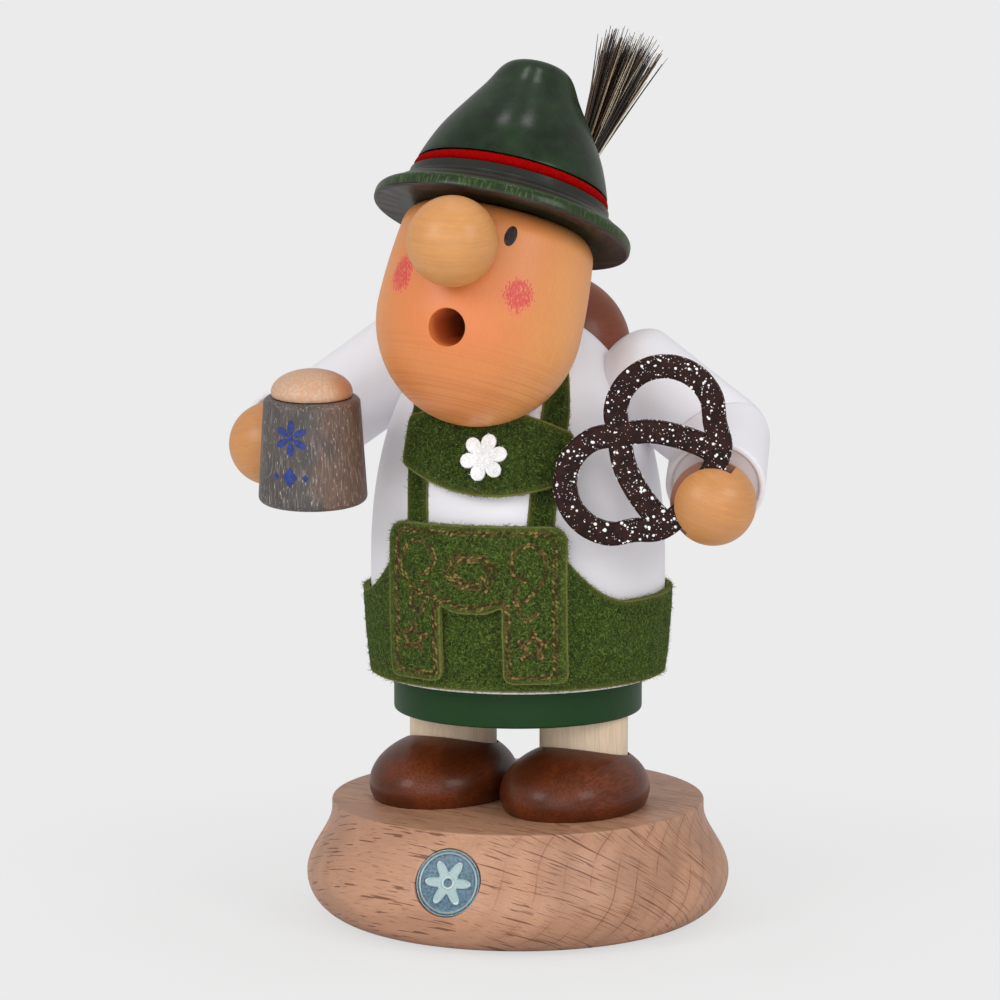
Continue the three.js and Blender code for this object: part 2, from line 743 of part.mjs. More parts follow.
// Tuft: straight tapering three-sided hairs that fan out from a slice of their plug
function makeTuft() {
  const sliceFoot = tuftPlugProud + seatGap;
  const sliceTop = sliceFoot + tuftSliceThickness;
  const rootReach = tuftPlugRadius - 0.25;
  const positions = [];
  const faces = [];
  for (let i = 0; i < hairCount; i += 1) {
    const turn = i * Math.PI * (3 - Math.sqrt(5));
    const reach = rootReach * Math.sqrt((i + 0.5) / hairCount);
    const length = tuftLength * (0.72 + 0.28 * Math.abs(Math.sin(i * 12.9898)));
    const spread = 1 + (tuftSpread / rootReach - 1) * (length / tuftLength);
    const start = positions.length / 3;
    for (const [height, scale, thickness] of [
      [sliceTop - 0.4, 1, hairThickness], [sliceTop + length, spread, hairThickness * 0.6]]) {
      for (let k = 0; k < 3; k += 1) {
        const around = (k / 3) * 2 * Math.PI;
        positions.push(
          reach * scale * Math.cos(turn) + thickness * Math.cos(around),
          reach * scale * Math.sin(turn) + thickness * Math.sin(around), height);
      }
    }
    faces.push(start, start + 2, start + 1, start + 3, start + 4, start + 5);
    for (let k = 0; k < 3; k += 1) {
      const next = (k + 1) % 3;
      faces.push(start + k, start + next, start + 3 + next);
      faces.push(start + k, start + 3 + next, start + 3 + k);
    }
  }
  const hairs = new THREE.BufferGeometry();
  hairs.setAttribute('position', new THREE.Float32BufferAttribute(positions, 3));
  hairs.setIndex(faces);
  const slice = rod(
    new THREE.Vector3(0, 0, sliceFoot), new THREE.Vector3(0, 0, sliceTop), tuftPlugRadius);
  return slice.add(solidOf(hairs));
}

// Torso: hollow from below, with sockets for the neck tube and the dowels
function shoulderOf(arm) {
  const height = torsoHeight - arm.shoulderDrop;
  return new THREE.Vector3(arm.side * (torsoRadiusAt(height) + arm.standOff), arm.back, height);
}

const elbowOf = (arm) => shoulderOf(arm).add(arm.elbow);
const handOf = (arm) => elbowOf(arm).add(arm.hand);

function shoulderDowel(arm, grow) {
  const height = torsoHeight - arm.shoulderDrop - shoulderDowelDrop;
  const middle = new THREE.Vector3(arm.side * torsoRadiusAt(height), arm.back, height);
  const half = new THREE.Vector3(arm.side * (armDowelLength / 2 + grow), 0, 0);
  return rod(middle.clone().sub(half), middle.clone().add(half), armDowelRadius + grow);
}

const rucksackCentre = new THREE.Vector3(
  0, torsoRadiusAt(rucksackHeight) + rucksackStandOff, rucksackHeight);

function rucksackDowel(grow) {
  const start = rucksackCentre.clone().setY(
    torsoRadiusAt(rucksackHeight) - rucksackDowelLength / 2 - grow);
  const end = start.clone().setY(torsoRadiusAt(rucksackHeight) + rucksackDowelLength / 2 + grow);
  return rod(start, end, rucksackDowelRadius + grow);
}

function makeTorso() {
  const dome = quarterRound(chamberRadius, chamberStraight, chamberDome, 5).reverse();
  dome[0][0] = 0;
  const outside = torsoProfile(0, torsoHeight, 0, torsoRings);
  outside[torsoRings][0] = 0;
  let solid = turned([...dome, [chamberRadius, 0], ...outside], wideFacets);
  solid = solid.subtract(neckSocket);
  for (const arm of [leftArm, rightArm]) solid = solid.subtract(shoulderDowel(arm, dowelGap));
  return solid.subtract(rucksackDowel(dowelGap));
}

// Felt clothes
const trousersTop = trouserWaist + trouserFrontRise;

function feltPlacement(turn) {
  return placement(new THREE.Vector3(), [0, 0, turn]);
}

function makeTrousers() {
  const layer = feltLayer(feltGap, feltThickness, trouserHem, trousersTop, 6);
  const reach = torsoGirthRadius * 2;
  const back = new THREE.Shape([
    new THREE.Vector2(-reach, trouserWaist), new THREE.Vector2(reach, trouserWaist),
    new THREE.Vector2(reach, trousersTop + 9), new THREE.Vector2(-reach, trousersTop + 9)]);
  let solid = layer.subtract(frontPrism(back, 0, reach));
  const rises = [];
  const steps = 6;
  for (let i = 0; i <= steps; i += 1) {
    const share = i / steps;
    const angle = trouserRiseAngle * (1 - share / 2);
    rises.push([torsoGirthRadius * Math.sin(angle * degrees),
      trouserWaist + trouserFrontRise * share ** 2]);
  }
  for (const side of [-1, 1]) {
    const points = [[reach, trouserWaist], ...rises, [rises[steps][0], trousersTop + 9],
      [reach, trousersTop + 9]];
    const shape = new THREE.Shape(points.map(([x, z]) => new THREE.Vector2(side * x, z)));
    solid = solid.subtract(frontPrism(shape, -reach, 0.01));
  }
  return moved(solid, feltPlacement(feltTurn));
}

function makeFlap() {
  const inner = 2 * feltGap + feltThickness;
  const layer = feltLayer(inner, feltThickness, flapBottom - 1, flapTop + 1, 7);
  const [w, c, t] = [flapHalfWidth, flapCornerRadius, flapToeRadius];
  const outline = roundedOutline([
    [-w, flapTop, c], [-w, flapBottom, t], [-flapLegInner, flapBottom, t],
    [-flapLegInner, flapDipHeight, 0.3], [-flapLegInner / 2, flapDipHeight - flapDipSag, 1.4],
    [flapLegInner / 2, flapDipHeight - flapDipSag, 1.4], [flapLegInner, flapDipHeight, 0.3],
    [flapLegInner, flapBottom, t], [w, flapBottom, t], [w, flapTop, c]]);
  const solid = layer.intersect(frontPrism(outline, -torsoGirthRadius * 2, -1, 3));
  return moved(solid, feltPlacement(feltTurn));
}

// The suspender spreads up to the chest and draws in again over the shoulder
function strapOutline(side, grow, low) {
  const half = strapWidth / 2 + grow;
  const high = torsoHeight - strapHighDrop;
  const turn = torsoHeight - strapTopDrop;
  const middle = (height) => {
    const rise = Math.max(0, (height - strapLowHeight) / (high - strapLowHeight));
    const over = Math.min(1, Math.max(0, (height - high) / (turn - high)));
    return strapLowOffset + (strapHighOffset - strapLowOffset) * Math.min(1, rise)
      - (strapHighOffset - strapTopOffset) * over ** 2;
  };
  const heights = [low, high, (high + turn) / 2, turn, torsoHeight + 9];
  const corners = [
    ...heights.map((height) => [middle(height) + half, height]),
    ...heights.reverse().map((height) => [middle(height) - half, height])];
  return new THREE.Shape(corners.map(([x, z]) => new THREE.Vector2(side * x, z)));
}

// What covers a suspender in front, from the flap upwards, and behind, from the waist upwards
function strapPrism(side, grow) {
  const reach = torsoGirthRadius * 2;
  const front = frontPrism(strapOutline(side, grow, flapTop - grow), -reach, 0.01);
  return front.add(
    frontPrism(strapOutline(side, grow, trouserWaist + feltGap - grow), 0, reach));
}

// The room that a suspender needs, with a clearance all round
function strapSpace(side) {
  const layer = feltLayer(
    0, feltThickness + feltGap + seatGap, trousersTop, torsoHeight - 0.5, 14);
  return moved(layer.intersect(strapPrism(side, seatGap)), feltPlacement(feltTurn));
}

function headSpace() {
  return moved(turned(headProfile(seatGap), wideFacets), headPlacement);
}

function makeStrap(side) {
  const layer = feltLayer(feltGap, feltThickness, trouserWaist, torsoHeight - 1, 14);
  const strap = layer.intersect(strapPrism(side, 0));
  return moved(strap, feltPlacement(feltTurn)).subtract(headSpace());
}

function barOutline() {
  const shape = new THREE.Shape();
  const [x, z, c] = [barHalfLength, barEndHalfHeight, barCornerRadius];
  shape.moveTo(-x, -z + c);
  shape.quadraticCurveTo(-x, -z, -x + c, -z - 0.3);
  shape.quadraticCurveTo(0, -z - 2 * barSag, x - c, -z - 0.3);
  shape.quadraticCurveTo(x, -z, x, -z + c);
  shape.lineTo(x, z - c);
  shape.quadraticCurveTo(x, z, x - c, z + 0.3);
  shape.quadraticCurveTo(0, z + 2 * barSag, -x + c, z + 0.3);
  shape.quadraticCurveTo(-x, z, -x, z - c);
  shape.closePath();
  return shape;
}

function makeChestBar() {
  const inner = 2 * feltGap + feltThickness;
  const half = barEndHalfHeight + barSag + 3;
  const layer = feltLayer(inner, feltThickness, barHeight - half, barHeight + half, 6);
  const prism = frontPrism(barOutline(), -torsoGirthRadius * 2, -1, 6);
  const tilt = placement(new THREE.Vector3(0, 0, barHeight), [0, -barTilt, 0]);
  const solid = layer.intersect(moved(prism, tilt));
  return moved(solid, feltPlacement(barTurn)).subtract(headSpace());
}

function makeFlower() {
  const inner = 3 * feltGap + 2 * feltThickness;
  const layer = feltLayer(
    inner, flowerThickness, flowerHeight - flowerRadius - 1, flowerHeight + flowerRadius + 1, 4);
  const shape = new THREE.Shape();
  const steps = flowerPetals * 8;
  for (let i = 0; i < steps; i += 1) {
    const turn = (i / steps) * 2 * Math.PI;
    const swell = Math.abs(Math.cos((turn * flowerPetals) / 2));
    const reach = flowerRadius * (0.44 + 0.56 * Math.sqrt(swell));
    const angle = turn + flowerSpin * degrees;
    const [x, z] = [reach * Math.sin(angle), reach * Math.cos(angle)];
    if (i === 0) shape.moveTo(flowerShift + x, flowerHeight + z);
    else shape.lineTo(flowerShift + x, flowerHeight + z);
  }
  const solid = layer.intersect(frontPrism(shape, -torsoGirthRadius * 2, -1));
  return moved(solid, feltPlacement(barTurn));
}

// Rucksack: a flattened ball hollowed to sit on the back over the suspenders
function makeRucksack() {
  const geometry = new THREE.SphereGeometry(1, wideFacets - 8, midFacets / 2);
  geometry.scale(rucksackRadius, rucksackDepth, rucksackRadius);
  geometry.translate(...rucksackCentre.toArray());
  let solid = solidOf(geometry).subtract(torsoSpace(seatGap));
  for (const side of [-1, 1]) solid = solid.subtract(strapSpace(side));
  return solid.subtract(rucksackDowel(dowelGap));
}

// Arms: a sleeve in two lengths mitred at the elbow, and a ball for the hand
function mitreOf(arm) {
  const upper = arm.elbow.clone().normalize();
  const lower = arm.hand.clone().normalize();
  return upper.add(lower).normalize();
}

function makeUpperSleeve(arm) {
  const [shoulder, elbow] = [shoulderOf(arm), elbowOf(arm)];
  const length = arm.elbow.length();
  const elbowRound = domedFoot(sleeveRadius, sleeveRadius, 5).reverse()
    .map(([radius, height]) => [radius, length - height]);
  const profile = [...domedFoot(sleeveRadius, shoulderCap, 5), ...elbowRound];
  const normal = mitreOf(arm);
  const mitre = elbow.clone().addScaledVector(normal, -seatGap / 2);
  return turnedAlong(shoulder, elbow, profile)
    .subtract(halfSpaceBeyond(mitre, normal))
    .subtract(torsoSpace(seatGap))
    .subtract(strapSpace(arm.side))
    .subtract(shoulderDowel(arm, dowelGap));
}

function wristDowel(arm, grow) {
  const along = arm.hand.clone().normalize();
  const cuff = handOf(arm).addScaledVector(along, -cuffToHand);
  const half = wristDowelLength / 2 + grow;
  return rod(
    cuff.clone().addScaledVector(along, -half), cuff.clone().addScaledVector(along, half),
    wristDowelRadius + grow, 12);
}

function makeLowerSleeve(arm) {
  const elbow = elbowOf(arm);
  const hand = handOf(arm);
  const normal = mitreOf(arm).negate();
  const mitre = elbow.clone().addScaledVector(normal, -seatGap / 2);
  const cuff = arm.hand.length() - cuffToHand;
  const profile = [
    ...domedFoot(sleeveRadius, sleeveRadius, 5), [sleeveRadius, cuff - cuffChamfer],
    [sleeveRadius - cuffChamfer, cuff], [0, cuff]];
  return turnedAlong(elbow, hand, profile)
    .subtract(halfSpaceBeyond(mitre, normal))
    .subtract(ball(hand, handRadius + seatGap, 24))
    .subtract(wristDowel(arm, dowelGap));
}

// Pretzel: two mirrored strands that cross, in a plane through the left hand's slot
// The board is turned about Z until its back face clears the clothes at the chest bar's top
function pretzelTurn() {
  const hand = handOf(leftArm);
  const chest = torsoRadiusAt(barHeight + barEndHalfHeight) + 2 * feltThickness + 3 * feltGap;
  const distance = chest + pretzelGap + pretzelThickness / 2 - pretzelProud;
  return Math.asin(distance / Math.hypot(hand.x, hand.y)) - Math.atan2(-hand.y, hand.x);
}

const pretzelNormal = new THREE.Vector3(
  Math.sin(pretzelTurn()), -Math.cos(pretzelTurn()), 0);
const slotReach = pretzelReach + pretzelWidth / 2 + slotSideGap;

// The pretzel's frame: X along its symmetry axis, Y across it in its plane, Z through the board
function pretzelPlacement() {
  const level = new THREE.Vector3(-pretzelNormal.y, pretzelNormal.x, 0);
  const along = level.clone().multiplyScalar(Math.cos(pretzelSlope * degrees))
    .setZ(Math.sin(pretzelSlope * degrees));
  const across = new THREE.Vector3().crossVectors(pretzelNormal, along);
  const middle = handOf(leftArm).addScaledVector(pretzelNormal, pretzelProud);
  const origin = middle.addScaledVector(along, -(pretzelReach + pretzelWidth / 2 + 0.8));
  return new THREE.Matrix4().makeBasis(along, across, pretzelNormal).setPosition(origin);
}

function strandCentreline(side) {
  const points = [
    [pretzelReach - 2.2, 7.7], [pretzelReach - 3.5, 7.7], [pretzelReach - 6.4, 7.1],
    [pretzelReach - 10, 5.8], [4.3, 3.7]];
  const steps = 7;
  const start = Math.atan2(pretzelLobeAcross, -pretzelLobeAlong);
  const sweep = (330 * degrees) - start;
  for (let i = 0; i <= steps; i += 1) {
    const angle = start + (sweep * i) / steps;
    points.push([
      pretzelLobeAlong + pretzelLobeRadius * Math.cos(angle),
      -pretzelLobeAcross + pretzelLobeRadius * Math.sin(angle)]);
  }
  points.push([pretzelReach - 1.6, -8.4], [pretzelReach, -0.4], [pretzelReach, 0.4]);
  return new THREE.CatmullRomCurve3(
    points.map(([x, y]) => new THREE.Vector3(x, side * y, 0)), false, 'centripetal');
}

function makeStrand(side) {
  const curve = strandCentreline(side);
  const steps = 36;
  const edges = [[], []];
  for (let i = 0; i <= steps; i += 1) {
    const point = curve.getPointAt(i / steps);
    const tangent = curve.getTangentAt(i / steps);
    const across = new THREE.Vector2(-tangent.y, tangent.x).multiplyScalar(pretzelWidth / 2);
    edges[0].push(new THREE.Vector2(point.x + across.x, point.y + across.y));
    edges[1].push(new THREE.Vector2(point.x - across.x, point.y - across.y));
  }
  const half = steps / 2;
  const stretches = [[0, half], [half, steps]].map(([from, to]) => {
    const outline = [
      ...edges[0].slice(from, to + 1), ...edges[1].slice(from, to + 1).reverse()];
    const geometry = new THREE.ExtrudeGeometry(
      new THREE.Shape(outline), { depth: pretzelThickness, bevelEnabled: false });
    return solidOf(geometry.translate(0, 0, -pretzelThickness / 2));
  });
  return stretches[0].add(stretches[1]);
}

function makePretzel() {
  return moved(makeStrand(1).add(makeStrand(-1)), pretzelPlacement());
}

function slotSpace() {
  const size = 40;
  const box = new THREE.BoxGeometry(size, size, pretzelThickness + 2 * slotSideGap);
  return moved(solidOf(box.translate(slotReach - size / 2, 0, 0)), pretzelPlacement());
}

function makeHand(arm) {
  return ball(handOf(arm), handRadius).subtract(wristDowel(arm, dowelGap));
}

// Mug with its foam, placed against the right hand
const mugWay = new THREE.Vector3(Math.sin(mugTurn * degrees), -Math.cos(mugTurn * degrees), 0);
const mugPlacement = placement(
  handOf(rightArm).addScaledVector(mugWay, mugReach).sub(new THREE.Vector3(0, 0, mugDrop)),
  [mugLean, 0, mugSpin], 'ZYX');

function mugDowel(grow) {
  const surface = handOf(rightArm).addScaledVector(mugWay, handRadius - 1.6);
  const half = mugDowelLength / 2 + grow;
  return rod(
    surface.clone().addScaledVector(mugWay, -half), surface.clone().addScaledVector(mugWay, half),
    mugDowelRadius + grow, 12);
}

function mugProfile(grow) {
  const edge = mugEdgeRadius;
  const round = (radius, height, turn) => [0, 0.5, 1].map((share) => {
    const angle = (turn + share * 90) * degrees;
    return [radius - edge + edge * Math.cos(angle) + grow, height + edge * Math.sin(angle)];
  });
  return [
    [0, -grow], ...round(mugBottomRadius, edge, -90), ...round(mugTopRadius, mugHeight - edge, 0),
    [0, mugHeight + grow]];
}

function makeMug() {
  const socket = rod(
    new THREE.Vector3(0, 0, mugHeight - foamTenonLength - seatGap),
    new THREE.Vector3(0, 0, mugHeight + 1), foamTenonRadius + dowelGap);
  return moved(turned(mugProfile(0), wideFacets).subtract(socket), mugPlacement)
    .subtract(mugDowel(dowelGap));
}

function makeFoam() {
  const dome = quarterRound(foamRadius, mugHeight + seatGap + 0.4, foamHeight - 0.4, 6);
  dome[dome.length - 1][0] = 0;
  return moved(turned([
    [0, mugHeight - foamTenonLength], [foamTenonRadius, mugHeight - foamTenonLength],
    [foamTenonRadius, mugHeight + seatGap], [foamRadius - 0.4, mugHeight + seatGap],
    ...dome], midFacets), mugPlacement);
}

// Scene graph
const smoker = new THREE.Group();

function add(parent, ...meshes) {
  for (const mesh of meshes) parent.add(mesh);
}

add(smoker,
  piece('base', makeBase(), materials.beech),
  piece('badge', makeBadge(), materials.badgeMetal));

const lowerFigure = new THREE.Group();
lowerFigure.applyMatrix4(lowerPlacement);
smoker.add(lowerFigure);

for (const [side, place] of [['right', legPlaces[0]], ['left', legPlaces[1]]]) {
  const shoe = piece(`shoe_${side}`, makeShoe(), materials.brownStain);
  const leg = piece(`leg_${side}`, makeLeg(), materials.limewood);
  shoe.position.copy(place).setZ(0);
  leg.position.copy(place);
  add(lowerFigure, shoe, leg);
}

const shorts = piece('shorts', makeShorts(), materials.greenPaint);
shorts.position.z = legHeight;
const emberPlate = piece('ember_plate', makePlate(), materials.plateMetal);
const tack = piece('plate_tack', makeTack(), materials.steel);
const plateLevel = legHeight + shortsHeight + spigotHeight + seatGap;
emberPlate.position.z = plateLevel;
tack.position.z = plateLevel;
const cone = piece('incense_cone', makeCone(), materials.incense);
cone.position.z = plateLevel + plateThickness + seatGap;
add(lowerFigure, shorts, emberPlate, tack, cone);

const upperFigure = new THREE.Group();
upperFigure.position.z = torsoBottom;
smoker.add(upperFigure);
add(upperFigure,
  piece('torso', makeTorso(), materials.whitePaint),
  piece('felt_trousers', makeTrousers(), materials.felt),
  piece('trouser_flap', makeFlap(), materials.felt),
  piece('suspender_right', makeStrap(-1), materials.felt),
  piece('suspender_left', makeStrap(1), materials.felt),
  piece('chest_bar', makeChestBar(), materials.felt),
  piece('flower', makeFlower(), materials.feltWhite),
  piece('neck_tube', makeNeckTube(), materials.limewood),
  piece('rucksack', makeRucksack(), materials.brownStain),
  piece('rucksack_dowel', rucksackDowel(0), materials.limewood));

for (const [side, arm] of [['left', leftArm], ['right', rightArm]]) {
  let hand = makeHand(arm);
  if (side === 'left') hand = hand.subtract(slotSpace());
  else {
    const mugSpace = moved(turned(mugProfile(seatGap), wideFacets), mugPlacement);
    hand = hand.subtract(mugSpace).subtract(mugDowel(dowelGap));
  }
  add(upperFigure,
    piece(`upper_sleeve_${side}`, makeUpperSleeve(arm), materials.whitePaint),
    piece(`lower_sleeve_${side}`, makeLowerSleeve(arm), materials.whitePaint),
    piece(`shoulder_dowel_${side}`, shoulderDowel(arm, 0), materials.limewood),
    piece(`wrist_dowel_${side}`, wristDowel(arm, 0), materials.limewood),
    piece(`hand_${side}`, hand, materials.skin));
}

add(upperFigure,
  piece('pretzel', makePretzel(), materials.pretzelWood),
  piece('mug', makeMug(), materials.mugWood),
  piece('mug_foam', makeFoam(), materials.foamWood),
  piece('mug_dowel', mugDowel(0), materials.limewood));

const head = new THREE.Group();
head.applyMatrix4(headPlacement);
upperFigure.add(head);
add(head,
  piece('head', makeHead(), materials.skin),
  piece('nose', makeNose(), materials.noseWood));

const hat = new THREE.Group();
hat.applyMatrix4(hatPlacement);
head.add(hat);
add(hat,
  piece('hat', makeHat().subtract(moved(plugRod(dowelGap), tuftPlacement))
    .subtract(moved(rod(new THREE.Vector3(), new THREE.Vector3(0, 0, 8), tuftPlugRadius + dowelGap),
      tuftPlacement)), materials.hatPaint),
  piece('hat_cord', makeCord(), materials.redCord));

const tuft = new THREE.Group();
tuft.applyMatrix4(tuftPlacement);
hat.add(tuft);
add(tuft,
  piece('tuft_plug', plugRod(0), materials.limewood),
  piece('hair_tuft', makeTuft(), materials.hair));

export default smoker;
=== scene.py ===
"""Looks of a turned wooden incense smoker: a stout man in felt trousers with a mug and a pretzel.

Sizes are in millimetres until a mesh is made, Z is up and the face looks along -Y. The shapes
repeat the part's own values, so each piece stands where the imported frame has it.
"""

from math import asin, atan2, cos, degrees, hypot, pi, radians, sin

import bmesh
import bpy
import numpy as np
from bpy.props import FloatProperty, FloatVectorProperty, IntProperty, PointerProperty
from mathutils import Matrix, Vector
from mathutils.geometry import delaunay_2d_cdt


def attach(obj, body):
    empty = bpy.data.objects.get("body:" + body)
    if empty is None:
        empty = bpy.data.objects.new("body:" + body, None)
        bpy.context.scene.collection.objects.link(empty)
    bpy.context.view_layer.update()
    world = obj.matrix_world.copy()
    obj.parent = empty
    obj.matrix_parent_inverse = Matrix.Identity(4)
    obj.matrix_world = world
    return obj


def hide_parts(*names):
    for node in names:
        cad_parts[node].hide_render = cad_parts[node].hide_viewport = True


bl_info = {
    "name": "Turned incense smoker",
    "version": (1, 0, 0),
    "blender": (4, 5, 0),
    "location": "View3D > Sidebar > Smoker",
    "description": "Dresses the packed incense smoker in wood, paint, felt and hair",
    "category": "Add Mesh",
}

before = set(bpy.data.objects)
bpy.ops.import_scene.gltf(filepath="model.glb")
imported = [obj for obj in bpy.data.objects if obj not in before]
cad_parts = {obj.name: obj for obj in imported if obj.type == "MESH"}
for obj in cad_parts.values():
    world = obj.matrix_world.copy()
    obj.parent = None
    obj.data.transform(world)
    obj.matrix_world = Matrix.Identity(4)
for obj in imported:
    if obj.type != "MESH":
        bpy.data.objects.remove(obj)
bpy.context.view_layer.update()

# Clearances
SEAT_GAP = 0.3
FELT_GAP = 0.25

# Base and badge
BASE_HEIGHT = 22.0
BASE_TOP_RADIUS = 35.2
BASE_WIDEST_RADIUS = 40.0
BASE_WIDEST_HEIGHT = 8.0
BASE_BOTTOM_RADIUS = 31.5
BASE_EDGE_BAND = 1.6
BADGE_RADIUS = 6.0
BADGE_HEIGHT = 13.5
BADGE_TILT = 19.0
BADGE_RECESS = 1.6
BADGE_AZIMUTH = -1.2

# Lower figure
LOWER_TURN = -6.5
LEG_RADIUS = 8.3
LEG_SPACING = 27.2
LEG_HEIGHT = 17.1
LEG_SOCKET = 3.4
TENON_RADIUS = 4.0
TENON_LENGTH = 8.0
SHOE_HALF_LENGTH = 17.4
SHOE_HALF_WIDTH = 13.3
SHOE_HEIGHT = 12.0
SHOE_FORWARD = 3.9
SHORTS_RADIUS = 23.4
SHORTS_HEIGHT = 6.9
SPIGOT_RADIUS = 19.15
SPIGOT_HEIGHT = 8.0
AIR_HOLE_RADIUS = 3.2
AIR_HOLE_OFFSET = 14.9
CONE_RADIUS = 5.4
CONE_HEIGHT = 20.0

# Torso, heights above its own bottom
TORSO_BOTTOM = BASE_HEIGHT + LEG_HEIGHT + SHORTS_HEIGHT
TORSO_HEIGHT = 68.3
TORSO_BOTTOM_RADIUS = 26.2
TORSO_GIRTH_RADIUS = 27.65
TORSO_GIRTH_HEIGHT = 20.0
TORSO_POWER = 2.25
CHAMBER_RADIUS = 19.5
CHAMBER_STRAIGHT = 32.0
CHAMBER_DOME = 22.0

# Felt clothes, heights above the torso's bottom
FELT = 1.2
FELT_TURN = 1.8
HEM = 0.8
WAIST = 16.5
FRONT_RISE = 10.5
RISE_ANGLE = 62.0
FLAP_HALF_WIDTH = 16.3
FLAP_TOP = 31.2
FLAP_BOTTOM = 2.5
FLAP_LEG_INNER = 5.6
FLAP_DIP = 16.4
FLAP_SAG = 1.2
STRAP_WIDTH = 4.6
STRAP_LOW_OFFSET = 11.7
STRAP_HIGH_OFFSET = 12.8
STRAP_LOW = 31.0
STRAP_HIGH = 51.0
STRAP_TOP_OFFSET = 9.3
STRAP_TOP = 64.0
BAR_TURN = 4.5
BAR_TILT = -5.0
BAR_HEIGHT = 44.2
BAR_HALF_LENGTH = 15.0
BAR_END = 4.6
BAR_SAG = 3.0
FLOWER_RADIUS = 4.2
FLOWER_SHIFT = 0.7
FLOWER_HEIGHT = 43.4
FLOWER_SPIN = 17.0

# Head, in its own frame
HEAD_RADIUS = 18.6
HEAD_DEPTH = 19.3
HEAD_TOP_RADIUS = 17.7
HEAD_WALL = 13.6
HEAD_EDGE = 5.2
HEAD_TURNS = (-15.4, 8.6, 1.6)
HEAD_SIDEWAYS = 0.7
HEAD_OVERLAP = 8.3
NECK_HEIGHT = 61.0
NECK_BORE_RADIUS = 5.3
MOUTH_RADIUS = 3.4
MOUTH_DROP = 15.0
MOUTH_TURN = 1.7
NOSE_RADIUS = 8.0
NOSE_REACH = 23.7
NOSE_HEIGHT = 9.4
EYE_AZIMUTH = 25.5
EYE_HEIGHT = 13.4
CHEEK_AZIMUTH = 37.0
CHEEK_HEIGHT = 3.5

# Hat, heights above the rim's underside
RIM_HEIGHT = 16.9
HAT_TURNS = (-5.0, -1.5)
HAT_SINK = 0.6
BRIM_RADIUS = 23.8
BRIM_THICKNESS = 2.4
CROWN = ((18.4, 6.9), (16.5, 12.5), (14.2, 17.3), (9.1, 25.2), (5.73, 30.4), (0.0, 31.8))
CORD_RADIUS = 1.0
CORD_HEIGHT = 8.0
CORD_RING = 17.0
TUFT_AZIMUTH = 142.0
TUFT_HEIGHT = 17.3
TUFT_LEAN = 10.3
TUFT_LENGTH = 25.0
TUFT_PLUG_PROUD = 1.0

# Arms
SLEEVE_RADIUS = 9.0
SHOULDER_CAP = 6.3
HAND_RADIUS = 7.7
CUFF_TO_HAND = 6.5
ARMS = {
    "left": (1, 11.4, 2.7, 2.1, (16.0, 2.2, -12.3), (5.0, -23.6, -8.7)),
    "right": (-1, 9.0, 4.0, 1.9, (-17.3, 1.9, -11.8), (-2.0, -25.4, -3.7)),
}

# Mug, foam, pretzel and rucksack
MUG_TOP_RADIUS = 8.8
MUG_BOTTOM_RADIUS = 9.9
MUG_HEIGHT = 19.4
MUG_EDGE = 1.2
MUG_LEAN = 6.0
MUG_TURN = 51.0
MUG_SPIN = 18.5
MUG_REACH = 16.0
MUG_DROP = 9.0
FOAM_RADIUS = 7.4
FOAM_HEIGHT = 4.8
PRETZEL_WIDTH = 4.2
PRETZEL_THICKNESS = 3.0
LOBE_RADIUS = 8.9
LOBE_ALONG = 5.05
LOBE_ACROSS = 7.65
PRETZEL_REACH = 18.2
PRETZEL_GAP = 0.9
PRETZEL_SLOPE = -36.0
PRETZEL_PROUD = 2.2
SLOT_SIDE_GAP = 0.2
SLOT_HALF = PRETZEL_THICKNESS / 2 + SLOT_SIDE_GAP
SLOT_END = PRETZEL_REACH + PRETZEL_WIDTH / 2 + SLOT_SIDE_GAP
RUCKSACK_HEIGHT = 58.9
RUCKSACK_STAND_OFF = 4.0
RUCKSACK_RADIUS = 15.0
RUCKSACK_DEPTH = 12.0

# Embroidery on the flap: points (x, height) of its curves
LEFT_LOOP = (
    (-10.0, 22.1), (-8.8, 22.3), (-7.5, 23.4), (-6.9, 25.2), (-7.9, 27.3), (-10.4, 28.2),
    (-12.8, 26.9), (-13.7, 24.6), (-13.6, 22.6), (-12.7, 20.7), (-11.0, 19.1), (-9.0, 18.3),
    (-6.7, 18.0))
LEFT_CURL = ((-9.4, 20.6), (-8.4, 20.4), (-7.9, 19.7), (-8.3, 18.8))
LEFT_DROP = (
    (-10.2, 18.9), (-9.2, 17.7), (-9.0, 16.4), (-10.1, 14.8), (-11.5, 15.7), (-11.7, 17.1),
    (-10.9, 18.3))
RIGHT_LOOP = (
    (10.1, 21.4), (8.6, 22.3), (7.5, 24.1), (7.9, 26.2), (9.1, 27.4), (10.9, 27.9),
    (12.8, 26.6), (13.6, 24.7), (13.3, 22.4), (12.2, 20.1), (10.9, 18.6), (9.3, 18.0),
    (7.9, 18.1))
RIGHT_HOOK = ((8.6, 20.1), (8.1, 18.4), (8.8, 16.6), (9.3, 15.2), (10.5, 14.2), (12.0, 15.6))
WREATH = ((-5.1, 22.8), (-2.6, 26.0), (3.1, 25.9), (5.1, 23.3), (3.1, 19.5), (-2.6, 20.1))
STARS = ((-11.4, 10.2, 3.1, 4.0), (11.2, 9.4, 3.1, 2.0))


def linear(red, green, blue):
    """Scene colour of a display colour whose parts run from 0 to 255."""
    share = np.array([red, green, blue]) / 255
    curve = np.where(share <= 0.04045, share / 12.92, ((share + 0.055) / 1.055) ** 2.4)
    return tuple(float(part) for part in curve)


# Frames


def turn_about(axis, angle):
    """Turn by an angle in degrees about X, Y or Z."""
    return Matrix.Rotation(radians(angle), 4, axis)


def shift(x, y, z):
    """Move by a vector."""
    return Matrix.Translation((x, y, z))


